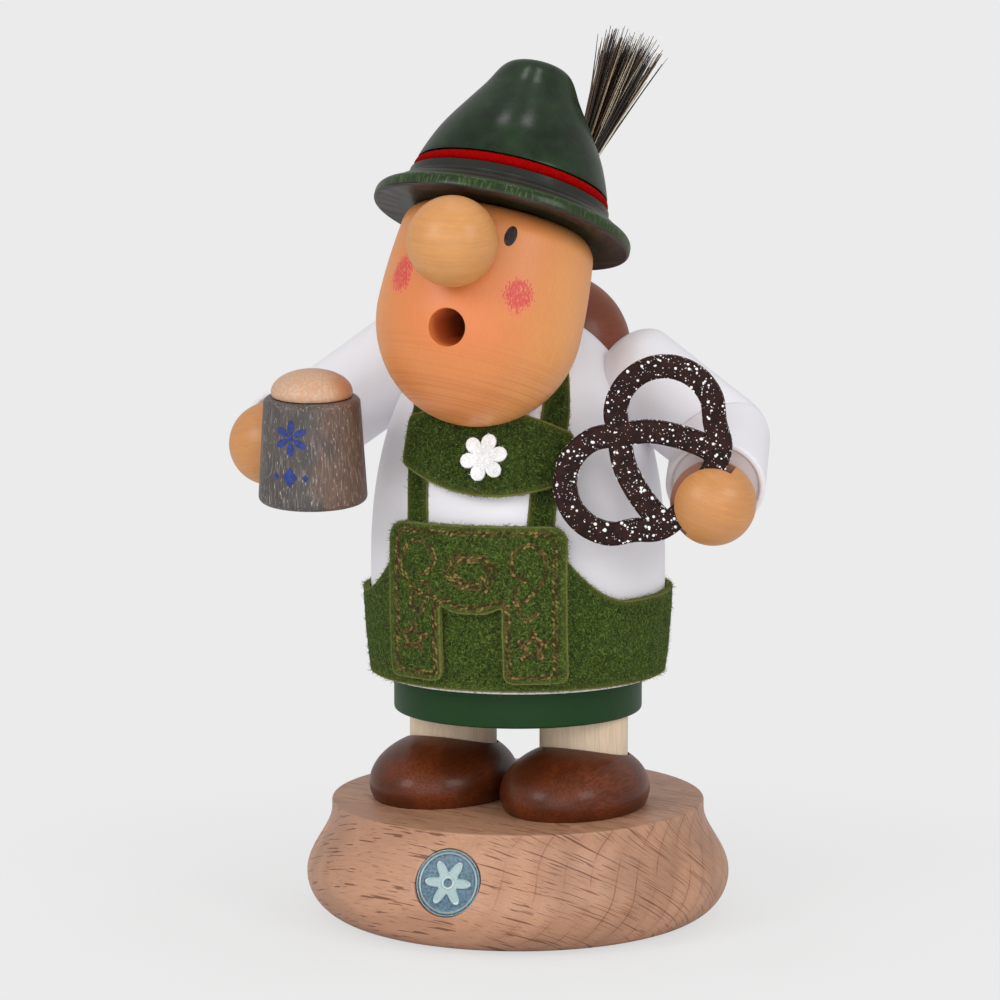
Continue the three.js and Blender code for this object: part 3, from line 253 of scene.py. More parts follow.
def from_axes(x, y, z, origin):
    """Frame with these three unit vectors as its axes."""
    rows = [[x[i], y[i], z[i], origin[i]] for i in range(3)]
    return Matrix([*rows, [0, 0, 0, 1]])


def along(start, end):
    """Frame at start whose Z axis points to end."""
    turn = (Vector(end) - Vector(start)).to_track_quat("Z", "Y").to_matrix().to_4x4()
    return shift(*start) @ turn


def torso_radius(height, offset=0.0):
    """Radius of the torso's outside: below the girth it shrinks with the square of the distance,
    above it is a superellipse (1 - share ** power) ** (1 / power)."""
    height = np.asarray(height, float)
    low = (TORSO_GIRTH_HEIGHT - height) / TORSO_GIRTH_HEIGHT
    below = TORSO_GIRTH_RADIUS - (TORSO_GIRTH_RADIUS - TORSO_BOTTOM_RADIUS) * low**2 + offset
    top = TORSO_HEIGHT + offset
    share = np.clip((height - TORSO_GIRTH_HEIGHT) / (top - TORSO_GIRTH_HEIGHT), 0, 1)
    above = (TORSO_GIRTH_RADIUS + offset) * (1 - share**TORSO_POWER) ** (1 / TORSO_POWER)
    return np.where(height <= TORSO_GIRTH_HEIGHT, below, above)


def head_place():
    """Frame of the head: it sinks into the shoulders along the torso's outward direction."""
    radius = float(torso_radius(NECK_HEIGHT))
    slope = float(torso_radius(NECK_HEIGHT + 0.5) - torso_radius(NECK_HEIGHT - 0.5))
    outward = Vector((0, -1, -slope)).normalized()
    centre = Vector((0, -radius, NECK_HEIGHT)) + outward * (HEAD_RADIUS - HEAD_OVERLAP)
    back, side, round_z = HEAD_TURNS
    turns = turn_about("X", back) @ turn_about("Y", side) @ turn_about("Z", round_z)
    return shift(HEAD_SIDEWAYS, centre.y, centre.z) @ turns


LOWER = shift(0, 0, BASE_HEIGHT) @ turn_about("Z", LOWER_TURN)
UPPER = shift(0, 0, TORSO_BOTTOM)
HEAD = UPPER @ head_place()
HAT = (HEAD @ shift(0, 0, RIM_HEIGHT) @ turn_about("X", HAT_TURNS[0])
       @ turn_about("Y", HAT_TURNS[1]))
CLOTHES = UPPER @ turn_about("Z", FELT_TURN)
BAR = UPPER @ turn_about("Z", BAR_TURN)


def arm_points(side):
    """Shoulder, elbow and hand of an arm above the torso's bottom."""
    sign, drop, stand_off, back, elbow, hand = ARMS[side]
    height = TORSO_HEIGHT - drop
    shoulder = Vector((sign * (float(torso_radius(height)) + stand_off), back, height))
    return shoulder, shoulder + Vector(elbow), shoulder + Vector(elbow) + Vector(hand)


def mug_place():
    """Frame of the mug: beside the right hand, leaning forwards."""
    hand = arm_points("right")[2]
    way = Vector((sin(radians(MUG_TURN)), -cos(radians(MUG_TURN)), 0))
    foot = hand + way * MUG_REACH - Vector((0, 0, MUG_DROP))
    return UPPER @ shift(*foot) @ turn_about("Z", MUG_SPIN) @ turn_about("X", MUG_LEAN)


def pretzel_place():
    """Frame of the pretzel: X along its symmetry axis towards the hand, Z through the board. The
    board turns about Z until its back clears the clothes on the chest."""
    hand = arm_points("left")[2]
    chest = float(torso_radius(BAR_HEIGHT + BAR_END)) + 2 * FELT + 3 * FELT_GAP
    distance = chest + PRETZEL_GAP + PRETZEL_THICKNESS / 2 - PRETZEL_PROUD
    turn = asin(distance / hypot(hand.x, hand.y)) - atan2(-hand.y, hand.x)
    normal = Vector((sin(turn), -cos(turn), 0))
    level = Vector((-normal.y, normal.x, 0))
    slope = radians(PRETZEL_SLOPE)
    axis = level * cos(slope) + Vector((0, 0, sin(slope)))
    across = normal.cross(axis)
    reach = PRETZEL_REACH + PRETZEL_WIDTH / 2 + 0.8
    origin = hand + normal * PRETZEL_PROUD - axis * reach
    return UPPER @ from_axes(axis, across, normal, origin)


MUG = mug_place()
PRETZEL = pretzel_place()


# Surfaces as arrays


def unit(vectors):
    """Rows of vectors brought to a length of 1."""
    return vectors / np.maximum(np.linalg.norm(vectors, axis=-1, keepdims=True), 1e-9)


def parabola(start, middle, end, steps):
    """Points of a parabola whose tangents at its ends meet in the middle point."""
    start, middle, end = (np.array(point) for point in (start, middle, end))
    t = np.linspace(0, 1, steps)[:, None]
    return (1 - t) ** 2 * start + 2 * t * (1 - t) * middle + t**2 * end


def rounded(corners, steps=6):
    """Profile through corners (radius, height, round), each eased by a parabola whose arms have
    that length."""
    corners = np.asarray(corners, float)
    lines = []
    for i in range(len(corners)):
        point = corners[i, :2]
        if corners[i, 2] == 0:
            lines.append(point[None])
            continue
        before = unit(corners[i - 1, :2] - point)
        after = unit(corners[(i + 1) % len(corners), :2] - point)
        lines.append(parabola(
            point + before * corners[i, 2], point, point + after * corners[i, 2], steps))
    return np.concatenate(lines)


def arc(centre, radii, start, end, steps=12):
    """Points of an ellipse about a centre, from one angle in degrees to another."""
    angle = np.radians(np.linspace(start, end, steps))
    return np.stack(
        [centre[0] + radii[0] * np.cos(angle), centre[1] + radii[1] * np.sin(angle)], -1)


def turned(profile, sides=128):
    """Surface of revolution: profile points (radius, height) on rows, the way round on columns."""
    profile = np.asarray(profile, float)
    angle = np.linspace(0, 2 * pi, sides, endpoint=False)
    points = np.empty((len(profile), sides, 3))
    points[..., 0] = profile[:, :1] * np.cos(angle)
    points[..., 1] = profile[:, :1] * np.sin(angle)
    points[..., 2] = profile[:, 1:]
    return points


def ellipsoid(centre, radii, sides):
    """Ball stretched to three radii: turned half circle, scaled and moved."""
    half = arc((0, 0), (1, 1), -90, 90, sides // 2)
    return turned(half, sides) * np.array(radii) + np.array(centre)


def wrapped(radius, angle, height):
    """Points at a radius, an angle from the front and a height."""
    return np.stack([radius * np.sin(angle), -radius * np.cos(angle), height], -1)


def quads(rows, columns, close_rows=False, close_columns=True):
    """Corners of the quads between neighbouring rows and columns of a grid."""
    i = np.arange(rows if close_rows else rows - 1)[:, None]
    j = np.arange(columns if close_columns else columns - 1)[None, :]
    below = i * columns
    above = (i + 1) % rows * columns
    right = (j + 1) % columns
    return np.stack([below + j, below + right, above + right, above + j], -1).reshape(-1, 4)


def placed(points, matrix):
    """Points moved by a matrix."""
    matrix = np.array(matrix)
    return points @ matrix[:3, :3].T + matrix[:3, 3]


def smooth_line(points, spacing, closed=False):
    """Catmull-Rom curve through points, evaluated densely and then spaced evenly by its length."""
    points = np.asarray(points, float)
    count = len(points)
    time = np.linspace(0, count if closed else count - 1, 40 * count)
    cell = np.floor(time).astype(int)
    if not closed:
        cell = np.minimum(cell, count - 2)
    f = (time - cell)[:, None]
    a, b, c, d = (
        points[(cell + k) % count if closed else np.clip(cell + k, 0, count - 1)]
        for k in (-1, 0, 1, 2))
    curve = b + 0.5 * f * (c - a + f * (2 * a - 5 * b + 4 * c - d + f * (3 * (b - c) + d - a)))
    return even(curve, spacing, closed)


def even(curve, spacing, closed=False):
    """Points of a line spaced evenly by its length; a closed line leaves out its last point."""
    step = np.linalg.norm(np.diff(curve, axis=0), axis=1)
    length = np.concatenate([[0], np.cumsum(step)])
    count = max(3, int(round(length[-1] / spacing)))
    at = np.linspace(0, length[-1], count, endpoint=not closed)
    return np.stack([np.interp(at, length, curve[:, k]) for k in range(curve.shape[1])], -1)


def filled(outline, spacing):
    """Triangles that fill a closed outline: its points and a staggered lattice inside it, joined
    by a constrained Delaunay triangulation."""
    low, high = outline.min(0), outline.max(0)
    height = np.arange(low[1], high[1], spacing * 0.866)
    width = np.arange(low[0], high[0], spacing)
    x, z = np.meshgrid(width, height)
    x[1::2] += spacing / 2
    lattice = np.stack([x, z], -1).reshape(-1, 2)
    after = np.roll(outline, -1, axis=0)
    crosses = (outline[:, 1] > lattice[:, 1:]) != (after[:, 1] > lattice[:, 1:])
    rise = after[:, 1] - outline[:, 1]
    rise = np.where(np.abs(rise) < 1e-9, 1e-9, rise)
    reach = (after[:, 0] - outline[:, 0]) * (lattice[:, 1:] - outline[:, 1]) / rise + outline[:, 0]
    inside = (crosses & (lattice[:, :1] < reach)).sum(1) % 2 == 1
    near = np.linalg.norm(lattice[:, None] - outline[None], axis=2).min(1) < spacing * 0.6
    points = np.concatenate([outline, lattice[inside & ~near]])
    index = np.arange(len(outline))
    edges = np.stack([index, np.roll(index, -1)], -1)
    made = delaunay_2d_cdt(points.tolist(), edges.tolist(), [], 1, 1e-7)
    return np.array([tuple(point) for point in made[0]]), np.array(made[2])


def on_torso(x, z, offset):
    """Point of the torso's front, grown by an offset, behind a point of the front view."""
    radius = torso_radius(z, offset)
    return np.stack([x, -np.sqrt(np.maximum(radius**2 - x**2, 0)), z], -1)


def over_torso(x, angle, offset):
    """Point where a ray in a plane of constant x leaves the torso: the ray starts at the girth's
    height and its angle runs from 0 in front over the top to 180 behind. Halving finds it."""
    low = np.zeros(np.broadcast(x, angle).shape)
    high = low + 90
    turn = np.radians(angle)
    for _ in range(34):
        middle = (low + high) / 2
        y = -middle * np.cos(turn)
        z = TORSO_GIRTH_HEIGHT + middle * np.sin(turn)
        outside = np.hypot(x, y) > torso_radius(z, offset)
        high = np.where(outside, middle, high)
        low = np.where(outside, low, middle)
    return np.stack(np.broadcast_arrays(
        x, -low * np.cos(turn), TORSO_GIRTH_HEIGHT + low * np.sin(turn)), -1)


def copied(points, rings, sides):
    """Points of many small tubes, one after another, with the faces of their walls and caps."""
    offset = (np.arange(points.shape[0]) * rings * sides)[:, None, None]
    ring = np.arange(sides)
    caps = np.stack([ring[::-1], ring + (rings - 1) * sides])
    faces = [(part + offset).reshape(-1, part.shape[1]) for part in (quads(rings, sides), caps)]
    return points.reshape(-1, 3), faces


def beads(centres, frames, sizes, sides):
    """Copies of a small ball: each is stretched to its sizes along the three axes of its frame."""
    rings = 5
    ball = turned(arc((0, 0), (1, 1), -86, 86, rings), sides).reshape(-1, 3)
    points = np.einsum("nka,nab->nkb", ball[None] * sizes[:, None], frames) + centres[:, None]
    return copied(points, rings, sides)


def fibres(roots, ways, bends, lengths, widths, steps):
    """Hairs of three sides: centre = root + length (way t + bend t squared), width falls with t."""
    t = np.linspace(0, 1, steps + 1)[None, :, None]
    centre = roots[:, None] + lengths[:, None, None] * (ways[:, None] * t + bends[:, None] * t**2)
    side = unit(np.cross(ways, ways[:, [1, 2, 0]] + 0.3))
    other = np.cross(ways, side)
    angle = np.arange(3) * 2 * pi / 3
    ring = side[:, None] * np.cos(angle)[:, None] + other[:, None] * np.sin(angle)[:, None]
    width = widths[:, None, None, None] * (1 - 0.7 * t[..., None] ** 2)
    return copied(centre[:, :, None] + ring[:, None] * width, steps + 1, 3)


# Pieces


def weld(mesh):
    """Merges the double points of a mesh and turns its faces outwards."""
    work = bmesh.new()
    work.from_mesh(mesh)
    bmesh.ops.remove_doubles(work, verts=work.verts, dist=2e-7)
    bmesh.ops.recalc_face_normals(work, faces=work.faces)
    work.to_mesh(mesh)
    work.free()


def piece(name, points, faces, matrix=None, merge=True):
    """Mesh object of points in mm and arrays of faces."""
    points = points.reshape(-1, 3)
    if matrix is not None:
        points = placed(points, matrix)
    mesh = bpy.data.meshes.new(name)
    corners = [face for part in faces for face in part.tolist()]
    mesh.from_pydata((points / 1000).tolist(), [], corners)
    if merge:
        weld(mesh)
    made = bpy.data.objects.new(name, mesh)
    bpy.context.scene.collection.objects.link(made)
    return made


def grid_piece(name, points, matrix=None, close_rows=False):
    """Closed piece of a grid whose columns go round."""
    return piece(name, points, [quads(*points.shape[:2], close_rows)], matrix)


def settle(made):
    """Puts what the modifiers make into the mesh."""
    bpy.context.view_layer.update()
    graph = bpy.context.evaluated_depsgraph_get()
    mesh = bpy.data.meshes.new_from_object(made.evaluated_get(graph))
    made.modifiers.clear()
    made.data = mesh


def carve(made, cutter, operation="DIFFERENCE"):
    """Cuts a piece with another, which is then removed."""
    cut = made.modifiers.new("cut", "BOOLEAN")
    cut.operation = operation
    cut.solver = "EXACT"
    cut.object = cutter
    settle(made)
    bpy.data.objects.remove(cutter)


def rod(start, end, radius, matrix, end_radius=None, sides=64):
    """Round cutter between two points."""
    length = (Vector(end) - Vector(start)).length
    top = radius if end_radius is None else end_radius
    points = turned([(0, 0), (radius, 0), (top, length), (0, length)], sides)
    return grid_piece("cutter", points, matrix @ along(start, end))


def cut_plane(made, point, normal):
    """Removes what lies beyond a plane and closes the cut."""
    work = bmesh.new()
    work.from_mesh(made.data)
    everything = work.verts[:] + work.edges[:] + work.faces[:]
    cut = bmesh.ops.bisect_plane(
        work, geom=everything, plane_co=Vector(point) / 1000, plane_no=normal, clear_outer=True)
    edges = [part for part in cut["geom_cut"] if isinstance(part, bmesh.types.BMEdge)]
    bmesh.ops.contextual_create(work, geom=edges)
    bmesh.ops.recalc_face_normals(work, faces=work.faces)
    work.to_mesh(made.data)
    work.free()


def soften(made, width, angle=40.0):
    """Rounds the sharp edges of a piece a little."""
    bevel = made.modifiers.new("soft edges", "BEVEL")
    bevel.width = width / 1000
    bevel.segments = 2
    bevel.limit_method = "ANGLE"
    bevel.angle_limit = radians(angle)
    bevel.use_clamp_overlap = True
    settle(made)


def thicken(made, thickness):
    """Gives a sheet its thickness outwards."""
    solid = made.modifiers.new("thickness", "SOLIDIFY")
    solid.thickness = thickness / 1000
    solid.offset = 1
    settle(made)


def finished(made, finish, body, slot, *nodes, sharp=35.0):
    """Gives a piece its finish and its body, and hides the nodes that it stands for. The slot is
    not used.
    """
    made.data.materials.clear()
    made.data.materials.append(finish)
    made.data.shade_smooth()
    made.data.set_sharp_from_angle(angle=radians(sharp))
    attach(made, body)
    if nodes:
        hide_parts(*nodes)
    return made


def surface_points(made, count, generator, weigh=None):
    """Random points on a mesh with their normals, in mm, each triangle chosen by its area."""
    mesh = made.data
    mesh.calc_loop_triangles()
    corners = np.empty(len(mesh.loop_triangles) * 3, np.int32)
    mesh.loop_triangles.foreach_get("vertices", corners)
    places = np.empty(len(mesh.vertices) * 3)
    mesh.vertices.foreach_get("co", places)
    triangles = places.reshape(-1, 3)[corners.reshape(-1, 3)] * 1000
    normal = np.cross(triangles[:, 1] - triangles[:, 0], triangles[:, 2] - triangles[:, 0])
    area = np.linalg.norm(normal, axis=1)
    normal = normal / np.maximum(area, 1e-12)[:, None]
    weight = area if weigh is None else area * weigh(triangles.mean(1), normal)
    chosen = generator.choice(len(area), count, p=weight / weight.sum())
    a, b = np.sqrt(generator.random(count)), generator.random(count)
    share = np.stack([1 - a, a * (1 - b), a * b], -1)
    return np.einsum("nk,nkx->nx", share, triangles[chosen]), normal[chosen]


def tone(made, values, name="tone"):
    """Stores one number for each point of a piece."""
    stored = made.data.attributes.new(name, "FLOAT", "POINT")
    stored.data.foreach_set("value", values.astype(np.float32))


# Shader nodes


class Link:
    """An output in a finish's nodes. Arithmetic on it adds Math nodes."""

    def __init__(self, finish, socket):
        self.finish = finish
        self.socket = socket

    def maths(self, operation, *others):
        """A Math node of this value and others."""
        return self.finish.node("Math", {"operation": operation}, dict(enumerate((self, *others))))

    def __add__(self, other):
        return self.maths("ADD", other)

    def __sub__(self, other):
        return self.maths("SUBTRACT", other)

    def __rsub__(self, other):
        return self.finish.node("Math", {"operation": "SUBTRACT"}, {0: other, 1: self})

    def __mul__(self, other):
        return self.maths("MULTIPLY", other)

    def __truediv__(self, other):
        return self.maths("DIVIDE", other)

    def __pow__(self, other):
        return self.maths("POWER", other)

    def __lt__(self, other):
        return self.maths("LESS_THAN", other)

    __radd__ = __add__
    __rmul__ = __mul__


class Finish:
    """A material whose nodes are added by calls."""

    def __init__(self, name):
        self.material = bpy.data.materials.new(name)
        self.material.use_nodes = True
        self.nodes = self.material.node_tree.nodes
        self.nodes.clear()
        self.object = self.node("TexCoord", out="Object")
        self.mm = self.vector("MULTIPLY", self.object, (1000, 1000, 1000))

    def node(self, kind, settings=None, values=None, out=0):
        """A node of a type, its settings first, then its sockets' values or links."""
        made = self.nodes.new("ShaderNode" + kind)
        for key, value in (settings or {}).items():
            if key == "stops":
                self.set_stops(made.color_ramp, value)
            else:
                setattr(made, key, value)
        for key, value in (values or {}).items():
            socket = made.inputs[key]
            if isinstance(value, Link):
                self.material.node_tree.links.new(value.socket, socket)
            elif socket.type == "RGBA" and len(value) == 3:
                socket.default_value = (*value, 1)
            else:
                socket.default_value = value
        return Link(self, made.outputs[out])

    @staticmethod
    def set_stops(ramp, stops):
        """Puts (place, colour) stops on a ramp."""
        while len(ramp.elements) < len(stops):
            ramp.elements.new(0.5)
        for element, (place, stop_colour) in zip(ramp.elements, stops):
            element.position = place
            element.color = (*stop_colour, 1)

    def vector(self, operation, *values, out=0):
        """A Vector Math node."""
        return self.node("VectorMath", {"operation": operation}, dict(enumerate(values)), out)

    def dot(self, vector, axis):
        """How far a vector reaches along an axis."""
        return self.vector("DOT_PRODUCT", vector, tuple(axis), out="Value")

    def reach(self, axis):
        """How far a place in mm reaches along an axis."""
        return self.dot(self.mm, axis)

    def combine(self, *values):
        """A vector of three values."""
        return self.node("CombineXYZ", None, dict(enumerate(values)))

    def local(self, matrix):
        """Place in mm in a frame, as three values."""
        moved = self.vector("SUBTRACT", self.mm, tuple(matrix.translation))
        return [self.dot(moved, matrix.col[k].to_3d()) for k in range(3)]

    def stored(self, name):
        """A number stored at a piece's points."""
        return self.node("Attribute", {"attribute_name": name}, out="Fac")

    def noise(self, scale=1.0, detail=2.0, roughness=0.5, distortion=0.0, vector=None, out=0):
        """Noise between 0 and 1, about a half on average, of a vector or the place in mm."""
        return self.node("TexNoise", None, {
            "Vector": vector or self.mm, "Scale": scale, "Detail": detail, "Roughness": roughness,
            "Distortion": distortion}, out)

    def stretched(self, place, sizes, **settings):
        """Noise whose grains have these three sizes along the three values of a place."""
        shares = [value / size for value, size in zip(place, sizes)]
        return self.noise(vector=self.combine(*shares), **settings)

    def ease(self, value, low, high):
        """Smooth step from 0 at low to 1 at high."""
        if low > high:
            return 1 - self.ease(value, high, low)
        return self.node("MapRange", {"interpolation_type": "SMOOTHSTEP"}, {
            "Value": value, "From Min": low, "From Max": high})

    def mix(self, share, low, high):
        """Colour between two colours."""
        return self.node("Mix", {"data_type": "RGBA"}, {0: share, 6: low, 7: high}, out=2)

    def mottled(self, share, base, darker, lighter):
        """Colour between a base made darker and made lighter."""
        return self.mix(share, scaled(base, darker), scaled(base, lighter))

    def over(self, body, top, value, low, high, share=1.0):
        """A colour laid over the body, at a share, where a value goes from low to high."""
        return self.mix(self.ease(value, low, high) * share, body, top)

    def log(self, grain, outward, pith):
        """Place in a log, in mm: distance from the pith, way round it, and way along the grain."""
        grain = Vector(grain).normalized()
        outward = (Vector(outward) - grain * Vector(outward).dot(grain)).normalized()
        a = self.reach(outward) + pith
        b = self.reach(grain.cross(outward))
        ring = (a * a + b * b) ** 0.5 + self.noise(0.06, 1.0) * 2.4
        return ring, b.maths("ARCTAN2", a) * pith, self.reach(grain)

    def bump(self, height, distance, strength):
        """Normal of a relief whose height is in mm times distance."""
        return self.node("Bump", None, {
            "Height": height, "Distance": distance / 1000, "Strength": strength})

    def shade(self, body, roughness, normal=None, **settings):
        """The shader and the output; names in settings use _ for a space."""
        values = {"Base Color": body, "Roughness": roughness}
        if normal is not None:
            values["Normal"] = normal
        values.update({key.replace("_", " "): value for key, value in settings.items()})
        self.put_out(self.node("BsdfPrincipled", None, values))
        return self.material

    def put_out(self, shader):
        """Connects a shader to the output."""
        output = self.nodes.new("ShaderNodeOutputMaterial")
        self.material.node_tree.links.new(shader.socket, output.inputs["Surface"])


def colour(name):
    """Colour that the user set."""
    return tuple(getattr(bpy.context.scene.smoker_colours, name))


def scaled(base, factor):
    """A colour made lighter or darker."""
    return tuple(min(1.0, part * factor) for part in base)


# Finishes


def beech():
    """Oiled beech of the base. The grain runs to the right and a little forwards, and the rays
    are thin ribbons along it: dashes on the front, blotches below and lines on the right, where
    the growth rings cross them."""
    finish = Finish("beech_oiled")
    base = colour("beech")
    place = finish.log((0.927, -0.375, 0.035), (-0.336, -0.782, 0.527), 70.0)
    fine = finish.stretched(place, (0.3, 0.18, 6.0), detail=3.0)
    broad = finish.stretched(place, (9.0, 16.0, 34.0))
    body = finish.mottled(finish.ease(broad, 0.35, 0.65), base, 0.93, 1.22)
    end = finish.ease(finish.reach((0.927, -0.375, 0.0)), 14.0, 34.0)
    band = (place[0] * (2 * pi / 3.7)).maths("SINE")
    body = finish.over(body, linear(150, 96, 68), band, -0.6, 1.0, 0.16)
    patchy = finish.ease(finish.noise(0.16), 0.35, 0.62)
    ring = finish.ease(band, 0.97, 0.998) * end * patchy * 0.65
    body = finish.mix(ring, body, linear(108, 64, 42))
    body = finish.over(body, scaled(base, 0.6), fine, 0.6, 0.35, 0.2)
    long_ray = finish.stretched(place, (44.0, 0.26, 3.4), detail=1.0)
    body = finish.over(body, linear(126, 78, 52), long_ray, 0.64, 0.68, end * 0.55 + 0.15)
    small = finish.stretched(place, (6.0, 0.17, 2.8), detail=1.0)
    body = finish.over(body, linear(128, 78, 50), small, 0.65, 0.69, 0.5)
    dash = finish.ease(finish.stretched(place, (13.0, 0.25, 6.0), detail=1.0), 0.64, 0.67)
    body = finish.mix(dash * 0.85, body, linear(104, 56, 32))
    normal = finish.bump(fine * 0.3 - dash * 0.3 - ring * 0.2, 0.08, 0.6)
    return finish.shade(body, 0.44 + fine * 0.12, normal, Coat_Weight=0.08, Coat_Roughness=0.3)


def limewood():
    """Pale limewood of the legs and dowels: growth rings and fine streaks along the grain."""
    finish = Finish("limewood_bare")
    base = colour("limewood")
    place = finish.log((0.03, 0.02, 1.0), (0.4, 0.9, 0.0), 40.0)
    wave = (place[0] * (2 * pi / 2.6)).maths("SINE")
    fine = finish.stretched(place, (0.22, 0.22, 5.0), detail=3.0)
    body = finish.mottled(finish.noise(0.07), base, 0.9, 1.08)
    body = finish.over(body, scaled(base, 0.62), wave, 0.2, 1.0, 0.14)
    body = finish.over(body, scaled(base, 0.55), fine, 0.62, 0.35, 0.3)
    return finish.shade(body, fine * 0.12 + 0.54, finish.bump(fine * 0.3, 0.08, 0.6))


def brown_stain():
    """Brown stained and lacquered wood of the shoes and, lighter, of the rucksack above them."""
    finish = Finish("brown_stain")
    base = colour("brown_stain")
    place = finish.log((0.3, 0.95, 0.1), (0.9, -0.3, 0.4), 50.0)
    fine = finish.stretched(place, (0.3, 0.3, 7.0), detail=3.0)
    body = finish.mottled(finish.ease(finish.noise(0.11), 0.3, 0.7), base, 0.7, 1.45)
    body = finish.over(body, scaled(base, 0.38), fine, 0.6, 0.36, 0.5)
    body = finish.over(body, linear(138, 74, 52), finish.reach((0.0, 0.0, 1.0)), 60.0, 70.0, 0.5)
    normal = finish.bump(fine + finish.noise(2.4, 3.0, 0.6) * 0.9, 0.05, 0.6)
    return finish.shade(body, 0.36 + fine * 0.1, normal, Specular_IOR_Level=0.2, Coat_Weight=0.14,
                        Coat_Roughness=0.18)


def green_paint():
    """Glossy dark green paint of the shorts."""
    finish = Finish("green_paint")
    fine = finish.stretched(finish.local(LOWER), (3.0, 3.0, 0.35), detail=3.0)
    body = finish.mottled(finish.noise(0.15), colour("green_paint"), 0.82, 1.15)
    normal = finish.bump(fine, 0.05, 0.35)
    return finish.shade(body, 0.42 + fine * 0.08, normal, Specular_IOR_Level=0.18)


def white_paint():
    """Satin white paint of the torso and the sleeves."""
    finish = Finish("white_paint")
    base = colour("white_paint")
    fine = finish.noise(1.1, 4.0, 0.62)
    body = finish.mottled(finish.noise(0.12), base, 0.965, 1.0)
    body = finish.over(body, scaled(base, 0.72), finish.noise(3.2, 1.0), 0.71, 0.76, 0.3)
    normal = finish.bump(fine, 0.06, 0.45)
    return finish.shade(body, 0.36 + fine * 0.1, normal, Coat_Weight=0.12, Coat_Roughness=0.2)


def skin():
    """Sprayed skin lacquer of the head: glow round nose and mouth, stippled cheeks."""
    finish = Finish("skin_lacquer")
    base = colour("skin")
    x, y, z = finish.local(HEAD)
    side = x.maths("ARCTAN2", y * -1.0) * HEAD_RADIUS
    broad = finish.noise(0.1)
    body = finish.mottled(broad, base, 0.94, 1.05)
    across, up = side - 1.0, z + 1.5
    warm = (across * across * 0.6 + up * up) ** 0.5
    body = finish.over(body, linear(214, 118, 62), warm, 14.0, 3.0, 0.7)
    body = finish.over(body, linear(232, 170, 104), side.maths("ABSOLUTE"), 12.0, 24.0, 0.45)
    ring = finish.stretched((x, y, z), (30.0, 30.0, 0.3), detail=3.0)
    low_ring = finish.ease(ring, 0.58, 0.36) * finish.ease(z, -2.0, -13.0)
    body = finish.mix(low_ring * 0.3, body, linear(176, 92, 48))
    fine = finish.stretched((side, z, y), (0.25, 1.6, 4.0), detail=3.0)
    body = finish.over(body, linear(180, 104, 58), fine, 0.6, 0.38, 0.13)
    brush = finish.stretched((side, z, y), (0.2, 0.62, 6.0), detail=1.0, distortion=0.35)
    for sign in (-1, 1):
        across = side - sign * radians(CHEEK_AZIMUTH - 1.5 * (sign < 0)) * HEAD_RADIUS
        up = z - CHEEK_HEIGHT
        away = (across * across + up * up * 0.8) ** 0.5
        spread = finish.ease(away + (broad - 0.5) * 3.0, 4.1, 1.6)
        body = finish.mix(spread * 0.3, body, linear(224, 112, 92))
        dash = finish.ease(brush + spread * 0.36, 0.72, 0.79) * finish.ease(away, 4.6, 3.4)
        body = finish.mix(dash * 0.95, body, linear(202, 62, 58))
    normal = finish.bump(fine + ring * 0.4, 0.03, 0.5)
    return finish.shade(body, 0.42 + fine * 0.1, normal, Coat_Weight=0.08, Coat_Roughness=0.3)


def ball_lacquer(name, base, slot=None):
    """Lacquered turned balls of the nose and the hands: end grain and fine flecks, and bare
    reddish wood inside the slot that holds the pretzel."""
    finish = Finish(name)
    place = finish.log((0.1, 1.0, 0.2), (0.2, 0.0, 1.0), 30.0)
    fine = finish.stretched(place, (0.3, 0.3, 3.0), detail=3.0)
    line = finish.stretched(place, (0.5, 8.0, 8.0))
    body = finish.mottled(finish.noise(0.2), base, 0.93, 1.06)
    body = finish.over(body, scaled(base, 0.72), line, 0.58, 0.4, 0.2)
    body = finish.over(body, scaled(base, 0.6), fine, 0.64, 0.42, 0.14)
    if slot is not None:
        x, _, z = finish.local(slot)
        inside = (z.maths("ABSOLUTE") < SLOT_HALF + 0.03) * (x < SLOT_END + 0.05)
        body = finish.mix(inside * 0.9, body, linear(132, 74, 52))
    normal = finish.bump(fine, 0.04, 0.5)
    return finish.shade(body, 0.4 + fine * 0.1, normal, Coat_Weight=0.12, Coat_Roughness=0.28)


